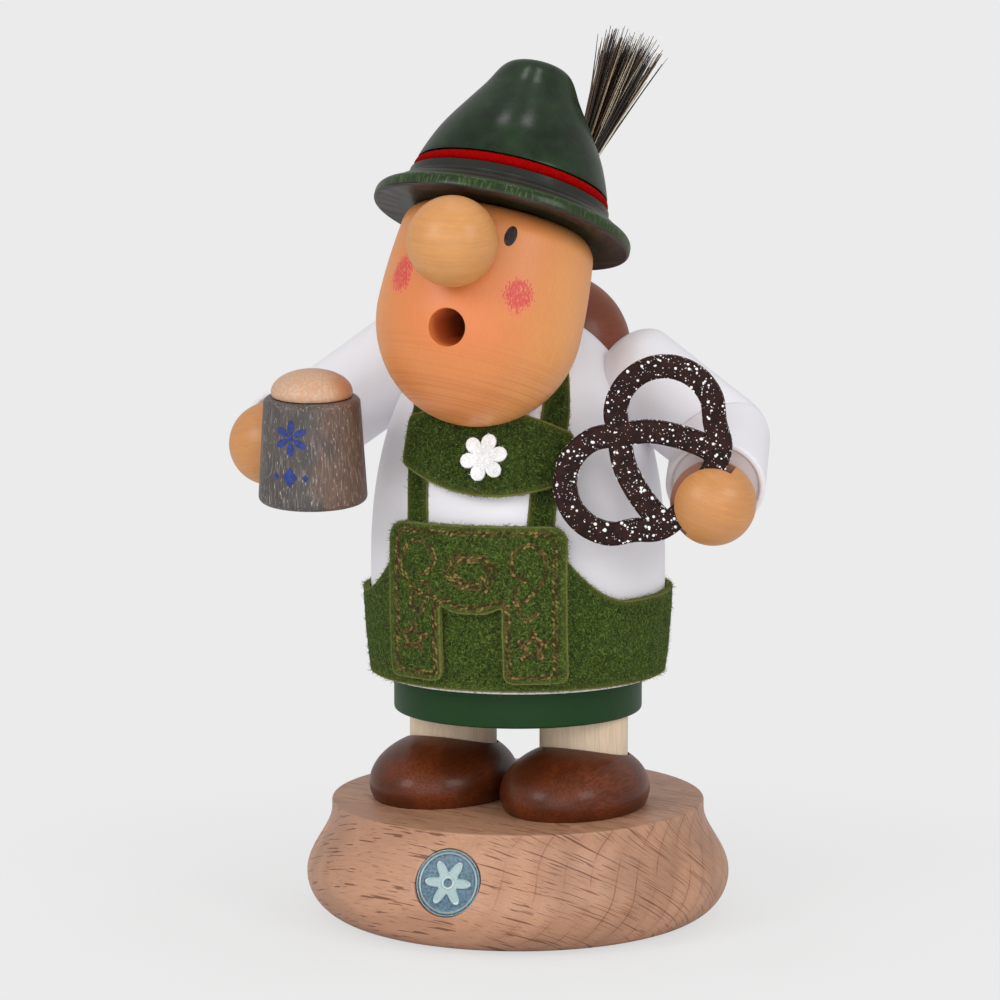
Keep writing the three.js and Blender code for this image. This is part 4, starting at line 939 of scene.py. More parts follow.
def hat_paint():
    """Dark green lacquer of the hat, greyer below the cord, brown ribbed wood under the brim."""
    finish = Finish("hat_paint")
    x, y, z = finish.local(HAT)
    radius = (x * x + y * y) ** 0.5
    broad = finish.noise(0.14, 3.0, 0.6)
    body = finish.mottled(finish.ease(broad, 0.3, 0.7), colour("hat_paint"), 0.55, 1.5)
    band = finish.ease(z, 7.6, 7.0) * finish.ease(z, 2.4, 3.0)
    body = finish.mix(band * 0.85, body, linear(38, 37, 33))
    stroke = finish.stretched((x, y, z), (0.26, 0.26, 3.0), detail=4.0)
    # Lighter green on the rounded rim: painted highlight. The pale strokes over it are end grain
    # showing through the paint.
    rim = finish.ease(radius, BRIM_RADIUS - 2.2, BRIM_RADIUS - 0.6)
    body = finish.mix(rim * 0.5, body, linear(40, 60, 26))
    body = finish.mix(finish.ease(stroke, 0.5, 0.66) * rim * 0.45, body, linear(96, 116, 66))
    under = finish.ease(z + (radius - BRIM_RADIUS) * 0.04, 0.75, 0.35)
    right = finish.reach((1.0, 0.0, 0.0))
    rib = finish.noise(vector=finish.combine(
        finish.reach((0.1, 0.25, 1.0)) / 0.32, right / 9.0, 0.0))
    wood = finish.mix(finish.ease(rib, 0.38, 0.62), linear(38, 34, 32), linear(72, 68, 66))
    wood = finish.over(wood, linear(56, 40, 28), right, -8.0, 14.0, 0.6)
    body = finish.mix(under, body, wood)
    height = stroke * 0.4 + finish.noise(3.0, 3.0, 0.7) * 2.8 + rib * under * 1.6
    return finish.shade(
        body, 0.34 + broad * 0.12 + under * 0.25, finish.bump(height, 0.07, 0.7),
        Specular_IOR_Level=0.06, Coat_Weight=0.34, Coat_Roughness=0.21)


def felt(name, base, light, dark, rim, relief=0.4, chest_tone_and_shade=0.0):
    """Pressed wool: short directional fibres over a mottled body, with a pale cut edge that is
    partly painted highlight and, at the share of its last argument, darker on the chest: partly a
    darker felt, partly painted shade of the head."""
    finish = Finish(name)
    broad = finish.noise(0.3, 3.0)
    wander = finish.vector("MULTIPLY", finish.noise(1.3, 1.0, out="Color"), (1.4, 1.4, 1.4))
    moved = finish.vector("ADD", finish.mm, wander)
    level, upright, knots = (
        finish.noise(vector=finish.vector("MULTIPLY", moved, sizes))
        for sizes in ((3.75, 3.0, 1.2), (1.2, 3.0, 3.9), (5.0, 5.0, 5.0)))
    strand = level * 0.42 + upright * 0.42 + knots * 0.16
    body = finish.mottled(finish.ease(broad, 0.3, 0.7), base, 0.86, 1.14)
    body = finish.over(body, light, strand, 0.525, 0.585, 0.62)
    body = finish.over(body, dark, strand, 0.48, 0.42, 0.66)
    # Painted shade: the felt above the flap is darker, partly a darker felt, partly the head's
    # shadow painted in.
    body = finish.over(body, dark, finish.reach((0.0, 0.0, 1.0)), 77.5, 83.0, chest_tone_and_shade)
    edge = finish.stored("edge")
    # Pale tan band along the cut edge: partly the loose fibres of the cut, partly painted highlight
    # where light catches them.
    body = finish.over(body, scaled(rim, 0.75), edge + (broad - 0.5) * 0.6, 1.5, 0.6, 0.16)
    body = finish.over(body, rim, edge + (strand - 0.5) * 0.9, 0.42, 0.1, 0.7)
    return finish.shade(body, 0.95, finish.bump(strand, relief, 0.9), Specular_IOR_Level=0.1,
                        Sheen_Weight=0.06, Sheen_Roughness=0.5, Sheen_Tint=(*light, 1))


def green_felt():
    """Moss green felt of the clothes."""
    return felt("felt_green", colour("felt"), linear(100, 130, 52), linear(12, 20, 5),
                linear(130, 126, 68), chest_tone_and_shade=0.3)


def white_felt():
    """White felt of the flower."""
    return felt("felt_white", linear(238, 238, 236), linear(252, 252, 252), linear(196, 196, 200),
                linear(226, 226, 228), 0.28)


def fibre_finish(name, stops, roughness):
    """Loose fibres, each with the colour of its own tone."""
    finish = Finish(name)
    value = finish.noise(1.5, 1.0) * 0.12 + finish.stored("tone") * 0.94
    return finish.shade(finish.node("ValToRGB", {"stops": stops}, {0: value}), roughness)


def thread():
    """Brown embroidery thread with a fine twist."""
    finish = Finish("embroidery_thread")
    twist = finish.noise(3.4)
    value = finish.stored("tone")
    body = finish.mottled(finish.ease(twist, 0.35, 0.65), colour("thread"), 0.7, 1.25)
    body = finish.over(body, linear(50, 32, 15), value, 0.45, 0.25, 0.8)
    body = finish.over(body, linear(146, 118, 72), value, 0.72, 0.85, 0.8)
    return finish.shade(body, 0.85, finish.bump(twist, 0.2, 0.6), Specular_IOR_Level=0.15)


def red_cord():
    """Matt red twisted cord of the hat."""
    finish = Finish("red_cord")
    x, y, z = finish.local(HAT)
    way = y.maths("ARCTAN2", x) * CORD_RING + z * 1.4
    twist = finish.stretched((way, z, z), (0.5, 2.0, 2.0))
    fuzz = finish.noise(3.0)
    share = finish.ease(twist * 0.3 + fuzz * 0.7, 0.35, 0.65)
    body = finish.mottled(share, colour("cord"), 0.7, 1.1)
    return finish.shade(body, 0.9, finish.bump(fuzz, 0.3, 0.8), Specular_IOR_Level=0.05)


def mug_stain():
    """Grey-brown stain of the mug with fine streaks along its height."""
    finish = Finish("mug_stain")
    x, y, z = finish.local(MUG)
    fine = finish.stretched((x, y, z), (0.3, 0.3, 2.6), detail=3.0, distortion=0.2)
    pore = finish.stretched((x, y, z), (0.22, 0.22, 1.3), detail=1.0)
    broad = finish.stretched((x, y, z), (3.4, 3.4, 9.0))
    body = finish.mottled(finish.ease(broad, 0.35, 0.65), colour("mug"), 0.82, 1.2)
    warm = x - y * 0.2 + (broad - 0.5) * 12.0
    body = finish.over(body, linear(126, 88, 62), warm, 2.0, 8.0, 0.5)
    body = finish.over(body, linear(62, 52, 46), fine, 0.54, 0.36, 0.5)
    body = finish.over(body, linear(150, 138, 126), fine, 0.55, 0.7, 0.45)
    body = finish.over(body, linear(200, 192, 182), pore, 0.66, 0.72, 0.6)
    normal = finish.bump(fine - finish.ease(pore, 0.6, 0.7) * 0.6, 0.1, 0.6)
    return finish.shade(body, 0.42 + fine * 0.16, normal, Coat_Weight=0.1, Coat_Roughness=0.2)


def mug_blue():
    """Blue brush paint of the ornament on the mug."""
    finish = Finish("mug_blue")
    stroke = finish.noise(1.4)
    body = finish.mottled(finish.ease(stroke, 0.35, 0.65), linear(26, 48, 122), 0.62, 1.25)
    return finish.shade(body, 0.5, finish.bump(stroke, 0.1, 0.4))


def foam_wood():
    """Bare maple of the foam: blistered in front, browner on the right."""
    finish = Finish("foam_wood")
    x, y, z = finish.local(MUG)
    cell = finish.node("TexVoronoi", {"feature": "SMOOTH_F1"}, {
        "Vector": finish.mm, "Scale": 1.7, "Smoothness": 0.6}, out="Distance")
    fine = finish.stretched((x, y, z), (0.3, 2.0, 0.3), detail=3.0)
    broad = finish.noise(0.25)
    body = finish.mottled(broad, linear(198, 168, 146), 0.92, 1.05)
    warm = x * 0.9 + y * 0.35 + (broad - 0.5) * 5.0
    body = finish.over(body, linear(184, 116, 74), warm, 1.0, 4.4, 0.8)
    front = finish.ease(y - z * 0.5, -8.5, -12.5)
    body = finish.mix(finish.ease(cell, 0.3, 0.55) * front * 0.5, body, linear(196, 140, 92))
    body = finish.over(body, linear(190, 140, 100), fine, 0.58, 0.4, 0.25)
    normal = finish.bump(cell * front * 1.2 + fine * 0.3, 0.16, 0.6)
    return finish.shade(body, 0.5, normal, Coat_Weight=0.1, Coat_Roughness=0.25)


def pretzel_stain():
    """Dark brown stain of the pretzel, redder where it is thin."""
    finish = Finish("pretzel_stain")
    share = finish.ease(finish.noise(0.5, 3.0, 0.6), 0.35, 0.68)
    fine = finish.noise(2.6, 3.0)
    body = finish.mottled(share, colour("pretzel"), 0.6, 1.5)
    body = finish.over(body, linear(96, 48, 40), fine, 0.58, 0.72, 0.35)
    normal = finish.bump(fine, 0.1, 0.5)
    return finish.shade(body, 0.5 + fine * 0.15, normal, Specular_IOR_Level=0.15)


def salt_paint():
    """White dots of paint on the pretzel."""
    finish = Finish("salt_paint")
    fine = finish.noise(2.0)
    body = finish.mix(fine, linear(228, 228, 230), linear(250, 250, 250))
    return finish.shade(body, 0.5, finish.bump(fine, 0.06, 0.4))


def eye_paint():
    """Dark brown gloss paint of the eyes, with brush lines."""
    finish = Finish("eye_paint")
    x, _, z = finish.local(HEAD)
    stroke = finish.stretched((x, x, z), (0.25, 0.25, 1.6))
    body = finish.mix(finish.ease(stroke, 0.5, 0.72), linear(34, 22, 22), linear(78, 60, 60))
    return finish.shade(body, 0.55, finish.bump(stroke, 0.05, 0.5), Specular_IOR_Level=0.25)


def metal(name, base, roughness):
    """Sheet metal with fine scratches and dull patches."""
    finish = Finish(name)
    fine = finish.stretched(finish.local(Matrix.Identity(4)), (0.15, 6.0, 3.0))
    broad = finish.noise(0.5, 3.0)
    body = finish.mottled(finish.ease(broad, 0.3, 0.7), base, 0.8, 1.1)
    return finish.shade(body, broad * 0.25 + roughness, finish.bump(fine, 0.02, 0.4), Metallic=1.0)


def badge_enamel():
    """Badge: blue-grey enamel between silver ridges, told apart by the stored tone."""
    finish = Finish("badge_enamel")
    value = finish.stored("tone")
    ridge = finish.ease(value, 0.65, 0.85)
    fine = finish.noise(2.2, 3.0)
    glaze = finish.mix(finish.ease(fine, 0.35, 0.65), linear(28, 62, 84), linear(66, 110, 130))
    pale = finish.mix(fine, linear(128, 158, 162), linear(164, 186, 186))
    body = finish.mix(finish.ease(value, 0.3, 0.45), glaze, pale)
    body = finish.mix(ridge, body, linear(176, 182, 180))
    return finish.shade(body, 0.36 - ridge * 0.04, finish.bump(fine, 0.05, 0.5),
                        Metallic=ridge * 0.9, Coat_Weight=0.2, Coat_Roughness=0.15)


def incense():
    """Pressed dark powder of the incense cone."""
    finish = Finish("incense_powder")
    fine = finish.noise(2.4, 4.0, 0.7)
    body = finish.mix(finish.ease(fine, 0.35, 0.65), linear(38, 26, 20), linear(84, 62, 48))
    return finish.shade(body, 0.95, finish.bump(fine, 0.3, 0.8))


# User settings


def picked(label, description, *display):
    """A colour setting with its default."""
    return FloatVectorProperty(
        name=label, description=description, subtype="COLOR", size=3, min=0.0, max=1.0,
        default=linear(*display))


class SmokerColours(bpy.types.PropertyGroup):
    """Colours of the smoker's finishes."""

    beech: picked("Beech", "Oiled beech of the base", 172, 128, 100)
    limewood: picked("Limewood", "Bare wood of the legs", 224, 200, 172)
    brown_stain: picked("Brown stain", "Shoes and rucksack", 91, 41, 16)
    green_paint: picked("Green paint", "Shorts", 22, 56, 22)
    white_paint: picked("White paint", "Torso and sleeves", 232, 230, 235)
    skin: picked("Skin", "Head", 211, 132, 72)
    hand: picked("Hands", "Balls of the hands", 198, 136, 78)
    nose: picked("Nose", "Ball of the nose", 203, 141, 79)
    hat_paint: picked("Hat", "Crown and brim of the hat", 25, 42, 22)
    felt: picked("Felt", "Trousers, flap and suspenders", 55, 67, 26)
    thread: picked("Thread", "Embroidery on the flap", 96, 78, 44)
    cord: picked("Cord", "Cord round the hat", 152, 0, 0)
    mug: picked("Mug", "Stain of the mug", 75, 68, 66)
    pretzel: picked("Pretzel", "Stain of the pretzel", 36, 17, 13)


class SmokerSizes(bpy.types.PropertyGroup):
    """Sizes and counts of the smoker's soft details."""

    hair_length: FloatProperty(
        name="Hair length", description="Longest hairs of the tuft", unit="LENGTH",
        default=TUFT_LENGTH / 1000, min=0.005, max=0.05)
    hairs: IntProperty(name="Hairs", description="Hairs in the tuft", default=420, min=50, max=900)
    fuzz_length: FloatProperty(
        name="Fuzz length", description="Loose fibres of the felt", unit="LENGTH",
        default=0.0011, min=0.0002, max=0.003)
    stitch: FloatProperty(
        name="Stitch", description="Length of a stitch with its gap", unit="LENGTH",
        default=0.00095, min=0.0005, max=0.004)
    salt: IntProperty(
        name="Salt", description="Dots of paint on the pretzel", default=2300, min=0, max=3000)


# Operators

LAMPS = (
    ("key", (-0.34, -0.60, 0.44), 0.30, 1.7), ("front", (0.22, -0.80, 0.20), 0.7, 2.2),
    ("fill", (0.64, -0.31, 0.44), 0.30, 1.5), ("top_left", (-0.085, 0.0, 0.94), 0.11, 0.36),
    ("top_right", (0.19, 0.05, 0.92), 0.11, 0.36))


class SMOKER_OT_stage(bpy.types.Operator):
    """Floor, background, lights and camera"""

    bl_idname = "smoker.stage"
    bl_label = "Stage"

    def execute(self, context):
        pale = linear(235, 235, 235)
        self.make_camera(context)
        self.make_world(context, pale)
        self.make_floor(pale)
        for lamp in LAMPS:
            self.make_lamp(*lamp)
        context.scene.view_settings.view_transform = "Standard"
        return {"FINISHED"}

    @staticmethod
    def make_camera(context):
        """Camera at the height of the head, looking a little down."""
        data = bpy.data.cameras.new("camera")
        data.lens = 125.64
        data.sensor_width = 36
        camera = bpy.data.objects.new("camera", data)
        camera.location = (0.2062, -0.6164, 0.160)
        camera.rotation_euler = (radians(90 - 7.16), 0, radians(18.7955))
        context.scene.collection.objects.link(camera)
        context.scene.camera = camera

    @staticmethod
    def make_world(context, pale):
        """White surroundings that the camera sees as the pale background."""
        world = bpy.data.worlds.new("surroundings")
        world.use_nodes = True
        tree = world.node_tree
        tree.nodes.clear()
        path = tree.nodes.new("ShaderNodeLightPath")
        plain = tree.nodes.new("ShaderNodeBackground")
        plain.inputs["Color"].default_value = (1, 1, 1, 1)
        plain.inputs["Strength"].default_value = 0.6
        seen = tree.nodes.new("ShaderNodeBackground")
        seen.inputs["Color"].default_value = (*pale, 1)
        choose = tree.nodes.new("ShaderNodeMixShader")
        output = tree.nodes.new("ShaderNodeOutputWorld")
        tree.links.new(path.outputs["Is Camera Ray"], choose.inputs[0])
        tree.links.new(plain.outputs[0], choose.inputs[1])
        tree.links.new(seen.outputs[0], choose.inputs[2])
        tree.links.new(choose.outputs[0], output.inputs["Surface"])
        context.scene.world = world

    @staticmethod
    def make_floor(pale):
        """Round floor that fades into the background away from the smoker."""
        finish = Finish("floor")
        away = finish.vector("LENGTH", finish.object, out="Value")
        plain = finish.node("BsdfDiffuse", None, {"Color": pale})
        glow = finish.node("Emission", None, {"Color": pale, "Strength": 1.0})
        seen = finish.node("MixShader", None, {
            0: finish.ease(away, 0.05, 0.16) * 0.25 + 0.75, 1: plain, 2: glow})
        path = finish.node("LightPath", out="Is Camera Ray")
        finish.put_out(finish.node("MixShader", None, {0: path, 1: plain, 2: seen}))
        floor = grid_piece("floor", turned([(0, -0.1), (3000, -0.1), (3000, -5), (0, -5)], 64))
        floor.data.materials.append(finish.material)

    @staticmethod
    def make_lamp(name, place, size, power):
        """Soft square lamp that looks at the middle of the smoker."""
        data = bpy.data.lights.new(name, "AREA")
        data.size = size
        data.energy = power
        lamp = bpy.data.objects.new(name, data)
        lamp.location = place
        way = Vector((0, 0, 0.08)) - Vector(place)
        lamp.rotation_euler = way.to_track_quat("-Z", "Y").to_euler()
        bpy.context.scene.collection.objects.link(lamp)


def base_profile():
    """Base: a quarter round up to the widest line, then a cosine S up to the straight band."""
    foot = arc(
        (BASE_BOTTOM_RADIUS, BASE_WIDEST_HEIGHT),
        (BASE_WIDEST_RADIUS - BASE_BOTTOM_RADIUS, BASE_WIDEST_HEIGHT), -90, 0, 20)
    share = np.linspace(0, 1, 28)[1:, None]
    end = BASE_HEIGHT - BASE_EDGE_BAND
    height = BASE_WIDEST_HEIGHT + (end - BASE_WIDEST_HEIGHT) * share
    swell = (BASE_WIDEST_RADIUS - BASE_TOP_RADIUS) * (1 + np.cos(share * pi)) / 2
    side = np.concatenate([BASE_TOP_RADIUS + swell, height], 1)
    top = rounded([
        (BASE_TOP_RADIUS, end, 0), (BASE_TOP_RADIUS, BASE_HEIGHT, 0.5), (0, BASE_HEIGHT, 0)])
    return np.concatenate([[(0, 0)], foot, side, top[1:]])


def base_radius(height):
    """Radius of the base's S at a height."""
    share = (height - BASE_WIDEST_HEIGHT) / (BASE_HEIGHT - BASE_EDGE_BAND - BASE_WIDEST_HEIGHT)
    return BASE_TOP_RADIUS + (BASE_WIDEST_RADIUS - BASE_TOP_RADIUS) * (1 + cos(share * pi)) / 2


def badge_place(sink):
    """Frame of the badge, sunk below the base's side, its Z axis outwards and up."""
    azimuth = radians(BADGE_AZIMUTH)
    point = Vector((sin(azimuth), -cos(azimuth), 0)) * base_radius(BADGE_HEIGHT)
    turn = turn_about("Z", BADGE_AZIMUTH) @ turn_about("X", 90 - BADGE_TILT)
    point = point + Vector((0, 0, BADGE_HEIGHT)) - turn.col[2].to_3d() * sink
    return shift(*point) @ turn


class SMOKER_OT_base(bpy.types.Operator):
    """Beech base with its round badge"""

    bl_idname = "smoker.base"
    bl_label = "Base"

    def execute(self, context):
        base = grid_piece("base_turned", turned(base_profile(), 192))
        carve(base, rod((0, 0, 0), (0, 0, 12), BADGE_RADIUS + SEAT_GAP, badge_place(BADGE_RECESS)))
        for sign in (-1, 1):
            x = sign * LEG_SPACING / 2
            carve(base, rod((x, 0, -TENON_LENGTH - SEAT_GAP), (x, 0, 1), TENON_RADIUS + SEAT_GAP,
                            LOWER, sides=48))
        soften(base, 0.18)
        finished(base, beech(), "stand", "beech", "base")
        self.make_badge()
        return {"FINISHED"}

    @staticmethod
    def make_badge():
        """Relief over polar coordinates: a thin raised rim, and a rosette whose edge is at the
        distance 0.5 + 0.2 cos(6 angle), pale inside."""
        share = np.linspace(0, 1, 72)[1:]
        angle = np.linspace(0, 2 * pi, 144, endpoint=False)
        r, a = np.meshgrid(share, angle, indexing="ij")
        petal = 0.5 + 0.2 * np.cos(6 * a)
        line = np.exp(-(((r - petal) / 0.035) ** 2)) + np.exp(-(((r - 0.17) / 0.04) ** 2))
        rim = np.exp(-(((r - 0.9) / 0.028) ** 2)) + np.clip((r - 0.975) / 0.01, 0, 1) * 0.6
        inside = np.clip((petal - r) / 0.04, 0, 1) * np.clip((r - 0.17) / 0.04, 0, 1)
        ridge = np.clip(np.maximum(line + rim, inside * 0.5), 0, 1)
        height = 0.55 + 0.16 * ridge + 0.06 * (1 - r**2)
        top = np.stack([r * np.cos(a) * BADGE_RADIUS, r * np.sin(a) * BADGE_RADIUS, height], -1)
        foot = turned([(BADGE_RADIUS, 0), (0, 0)], 144)
        points = np.concatenate([np.broadcast_to([[[0, 0, 0.61]]], (1, 144, 3)), top, foot])
        badge = piece("badge_disc", points, [quads(*points.shape[:2])],
                      badge_place(BADGE_RECESS - SEAT_GAP), merge=False)
        values = np.concatenate([np.zeros((1, 144)), ridge, np.zeros((2, 144))])
        tone(badge, values.ravel())
        weld(badge.data)
        finished(badge, badge_enamel(), "stand", "badge_enamel", "badge")


class SMOKER_OT_feet(bpy.types.Operator):
    """Shoes and legs"""

    bl_idname = "smoker.feet"
    bl_label = "Shoes and legs"

    def execute(self, context):
        stain, bare = brown_stain(), limewood()
        for name, sign in (("right", -1), ("left", 1)):
            place = LOWER @ shift(sign * LEG_SPACING / 2, 0, 0)
            finished(self.make_shoe(f"shoe_{name}_turned", place), stain, "stand", "brown_stain",
                     f"shoe_{name}")
            leg = rounded([
                (0, -TENON_LENGTH, 0), (TENON_RADIUS, -TENON_LENGTH, 0.4),
                (TENON_RADIUS, LEG_SOCKET, 0), (LEG_RADIUS, LEG_SOCKET, 0.3),
                (LEG_RADIUS, LEG_HEIGHT - SEAT_GAP, 0.3), (TENON_RADIUS, LEG_HEIGHT - SEAT_GAP, 0),
                (TENON_RADIUS, LEG_HEIGHT + TENON_LENGTH, 0.4), (0, LEG_HEIGHT + TENON_LENGTH, 0)])
            finished(grid_piece(f"leg_{name}_turned", turned(leg, 96), place), bare, "stand",
                     "limewood", f"leg_{name}")
        return {"FINISHED"}

    @staticmethod
    def make_shoe(name, place):
        """Egg-shaped dome stretched in plan: the sides follow an ellipse above the widest line
        and tuck in a little towards the sole."""
        angle = np.radians(np.linspace(-28.8, 90, 40))
        reach = np.where(
            angle < 0, 1 - 0.9 / SHOE_HALF_WIDTH * (1 - np.cos(3 * angle)), np.cos(angle))
        rise = 0.24 + 0.76 * np.sin(np.where(angle < 0, angle / 1.55, angle))
        side = np.stack([reach, np.maximum(rise, 0)], -1)
        dome = turned(np.concatenate([[(0, 0)], side]), 112)
        dome = dome * np.array([SHOE_HALF_WIDTH, SHOE_HALF_LENGTH, SHOE_HEIGHT])
        shoe = grid_piece(name, dome - np.array([0, SHOE_FORWARD, 0]), place)
        carve(shoe, rod((0, 0, LEG_SOCKET - SEAT_GAP), (0, 0, SHOE_HEIGHT + 5),
                        LEG_RADIUS + SEAT_GAP, place, sides=96))
        carve(shoe, rod((0, 0, -1), (0, 0, SHOE_HEIGHT), TENON_RADIUS + SEAT_GAP, place))
        soften(shoe, 0.16)
        return shoe


class SMOKER_OT_shorts(bpy.types.Operator):
    """Shorts with the spigot, the ember plate, its tack and the incense cone"""

    bl_idname = "smoker.shorts"
    bl_label = "Shorts and incense"

    def execute(self, context):
        place = LOWER @ shift(0, 0, LEG_HEIGHT)
        top = SHORTS_HEIGHT + SPIGOT_HEIGHT
        profile = rounded([
            (0, 0, 0), (SHORTS_RADIUS, 0, 0.6), (SHORTS_RADIUS, SHORTS_HEIGHT - SEAT_GAP, 0.3),
            (SPIGOT_RADIUS, SHORTS_HEIGHT - SEAT_GAP, 0), (SPIGOT_RADIUS, top, 0.6), (0, top, 0)])
        shorts = grid_piece("shorts_turned", turned(profile, 144), place)
        carve(shorts, rod((0, AIR_HOLE_OFFSET, -1), (0, AIR_HOLE_OFFSET, top + 1), AIR_HOLE_RADIUS,
                          place))
        carve(shorts, rod((0, 0, top - 1.1), (0, 0, top + 1), 4.3, place))
        finished(shorts, green_paint(), "stand", "green_paint", "shorts")
        plate = place @ shift(0, 0, top + SEAT_GAP)
        dish = rounded([
            (0.9, -0.8, 0), (4.0, -0.8, 0.3), (4.0, 0, 0.2), (10.2, 0, 0.5), (11.0, 0.8, 0.4),
            (11.0, 2.2, 0.3), (10.2, 2.2, 0.3), (9.8, 0.8, 0.4), (3.5, 0.8, 0.2), (3.5, 0, 0.2),
            (0.9, 0, 0)], 4)
        finished(grid_piece("ember_plate_pressed", turned(dish, 96), plate, close_rows=True),
                 metal("plate_brass", linear(190, 160, 98), 0.3), "stand", "plate_brass",
                 "ember_plate")
        tack = rounded([
            (0, -6, 0), (0.6, -5, 0.2), (0.6, 0.1, 0), (2.0, 0.1, 0.15), (1.5, 0.75, 0.4),
            (0, 0.8, 0)])
        finished(grid_piece("plate_tack_turned", turned(tack, 48), plate),
                 metal("tack_steel", linear(160, 160, 162), 0.25), "stand", "steel", "plate_tack")
        cone = rounded([
            (0, 0, 0), (CONE_RADIUS, 0, 0.3), (1.0, CONE_HEIGHT - 0.5, 0.4), (0, CONE_HEIGHT, 0)])
        cone = even(np.concatenate([cone[:7], even(cone[6:], 0.4)]), 0.4)
        relief = turned(cone, 96)
        generator = np.random.default_rng(3)
        inner = slice(3, len(cone) - 3)
        relief[inner, :, :2] *= 1 - 0.008 * generator.random(relief[inner, :, :1].shape)
        finished(grid_piece("incense_cone_pressed", relief, plate @ shift(0, 0, 1.1)), incense(),
                 "incense_cone", "incense", "incense_cone")
        return {"FINISHED"}


def torso_outline(offset, steps=64):
    """Profile of the torso's outside, its steps closer towards the top."""
    height = (TORSO_HEIGHT + offset) * np.sin(np.linspace(0, pi / 2, steps))
    outline = np.stack([torso_radius(height, offset), height], -1)
    outline[-1, 0] = 0
    return outline


def torso_cutter(sides):
    """Cutter of the torso with its clearance."""
    outline = np.concatenate([[(0, 0)], torso_outline(SEAT_GAP)])
    return grid_piece("cutter", turned(outline, sides), UPPER)


def neck_line():
    """Two points on the neck tube's axis inside the torso."""
    place = head_place().translation
    axis = (place - Vector((0, -float(torso_radius(NECK_HEIGHT)), NECK_HEIGHT))).normalized()
    tube_top = place - axis * 5
    return tube_top - axis * 30, tube_top + axis * SEAT_GAP


class SMOKER_OT_torso(bpy.types.Operator):
    """Hollow torso and the rucksack on its back"""

    bl_idname = "smoker.torso"
    bl_label = "Torso and rucksack"

    def execute(self, context):
        dome = arc((0, CHAMBER_STRAIGHT), (CHAMBER_RADIUS, CHAMBER_DOME), 90, 0, 20)
        dome[0, 0] = 0
        lip = rounded([
            (CHAMBER_RADIUS, 8, 0), (CHAMBER_RADIUS, 0, 0.4), (TORSO_BOTTOM_RADIUS, 0, 0.4),
            (float(torso_radius(2.0)), 2.0, 0)])
        outside = torso_outline(0.0)
        profile = np.concatenate([dome, lip, outside[outside[:, 1] > 2.4]])
        torso = grid_piece("torso_turned", turned(profile, 176), UPPER)
        carve(torso, rod(*neck_line(), NECK_BORE_RADIUS, UPPER))
        finished(torso, white_paint(), "figure", "white_paint", "torso")
        centre = (0, float(torso_radius(RUCKSACK_HEIGHT)) + RUCKSACK_STAND_OFF, RUCKSACK_HEIGHT)
        ball = ellipsoid(centre, (RUCKSACK_RADIUS, RUCKSACK_DEPTH, RUCKSACK_RADIUS), 128)
        rucksack = grid_piece("rucksack_turned", ball, UPPER)
        carve(rucksack, torso_cutter(128))
        finished(rucksack, brown_stain(), "figure", "brown_stain", "rucksack")
        return {"FINISHED"}


class SMOKER_OT_arms(bpy.types.Operator):
    """Sleeves mitred at the elbows, and the balls of the hands"""

    bl_idname = "smoker.arms"
    bl_label = "Arms"

    def execute(self, context):
        paint = white_paint()
        lacquer = ball_lacquer("hand_lacquer", colour("hand"), PRETZEL)
        for side in ("left", "right"):
            shoulder, elbow, hand = arm_points(side)
            normal = ((elbow - shoulder).normalized() + (hand - elbow).normalized()).normalized()
            length = (elbow - shoulder).length
            dome = arc((0, length), (SLEEVE_RADIUS, SLEEVE_RADIUS), 4, 90, 14)
            self.make_sleeve(f"upper_sleeve_{side}", SHOULDER_CAP, length, dome,
                             along(shoulder, elbow), elbow, normal, paint)
            cuff = (hand - elbow).length - CUFF_TO_HAND
            step = rounded([
                (SLEEVE_RADIUS, cuff - 3, 0), (SLEEVE_RADIUS, cuff, 0.7), (8.0, cuff, 0.25),
                (7.6, cuff - 0.8, 0.2), (0, cuff - 0.8, 0)])
            self.make_sleeve(f"lower_sleeve_{side}", SLEEVE_RADIUS, cuff - 4, step,
                             along(elbow, hand), elbow, -normal, paint)
            self.make_hand(side, hand, lacquer)
        return {"FINISHED"}

    @staticmethod
    def make_sleeve(name, cap, straight, end, place, elbow, normal, paint):
        """Turned sleeve: cap, straight wall and end, cut by the mitre plane at the elbow."""
        profile = np.concatenate([
            arc((0, 0), (SLEEVE_RADIUS, cap), -90, 0, 16),
            np.stack([np.full(12, SLEEVE_RADIUS), np.linspace(1, straight, 12)], -1), end])
        sleeve = grid_piece(f"{name}_turned", turned(profile, 112), UPPER @ place)
        cut_plane(sleeve, UPPER @ (elbow - normal * (SEAT_GAP / 2 - 0.08)), normal)
        soften(sleeve, 0.22)
        finished(sleeve, paint, "figure", "white_paint", name)

    @staticmethod
    def make_hand(side, hand, lacquer):
        """Ball with a slot for the pretzel, or a hollow where the mug sits against it."""
        ball = grid_piece(f"hand_{side}_turned", ellipsoid(hand, [HAND_RADIUS] * 3, 112), UPPER)
        if side == "left":
            corners = np.array([[x, y, z] for x in (SLOT_END - 40, SLOT_END) for y in (-20, 20)
                                for z in (-SLOT_HALF, SLOT_HALF)], float)
            faces = np.array([
                (0, 1, 3, 2), (4, 6, 7, 5), (0, 4, 5, 1), (2, 3, 7, 6), (0, 2, 6, 4), (1, 5, 7, 3)])
            carve(ball, piece("cutter", corners, [faces], PRETZEL))
        else:
            carve(ball, grid_piece("cutter", turned(mug_profile(SEAT_GAP), 96), MUG))
        soften(ball, 0.2)
        finished(ball, lacquer, "figure", "skin_lacquer", f"hand_{side}")


# Felt


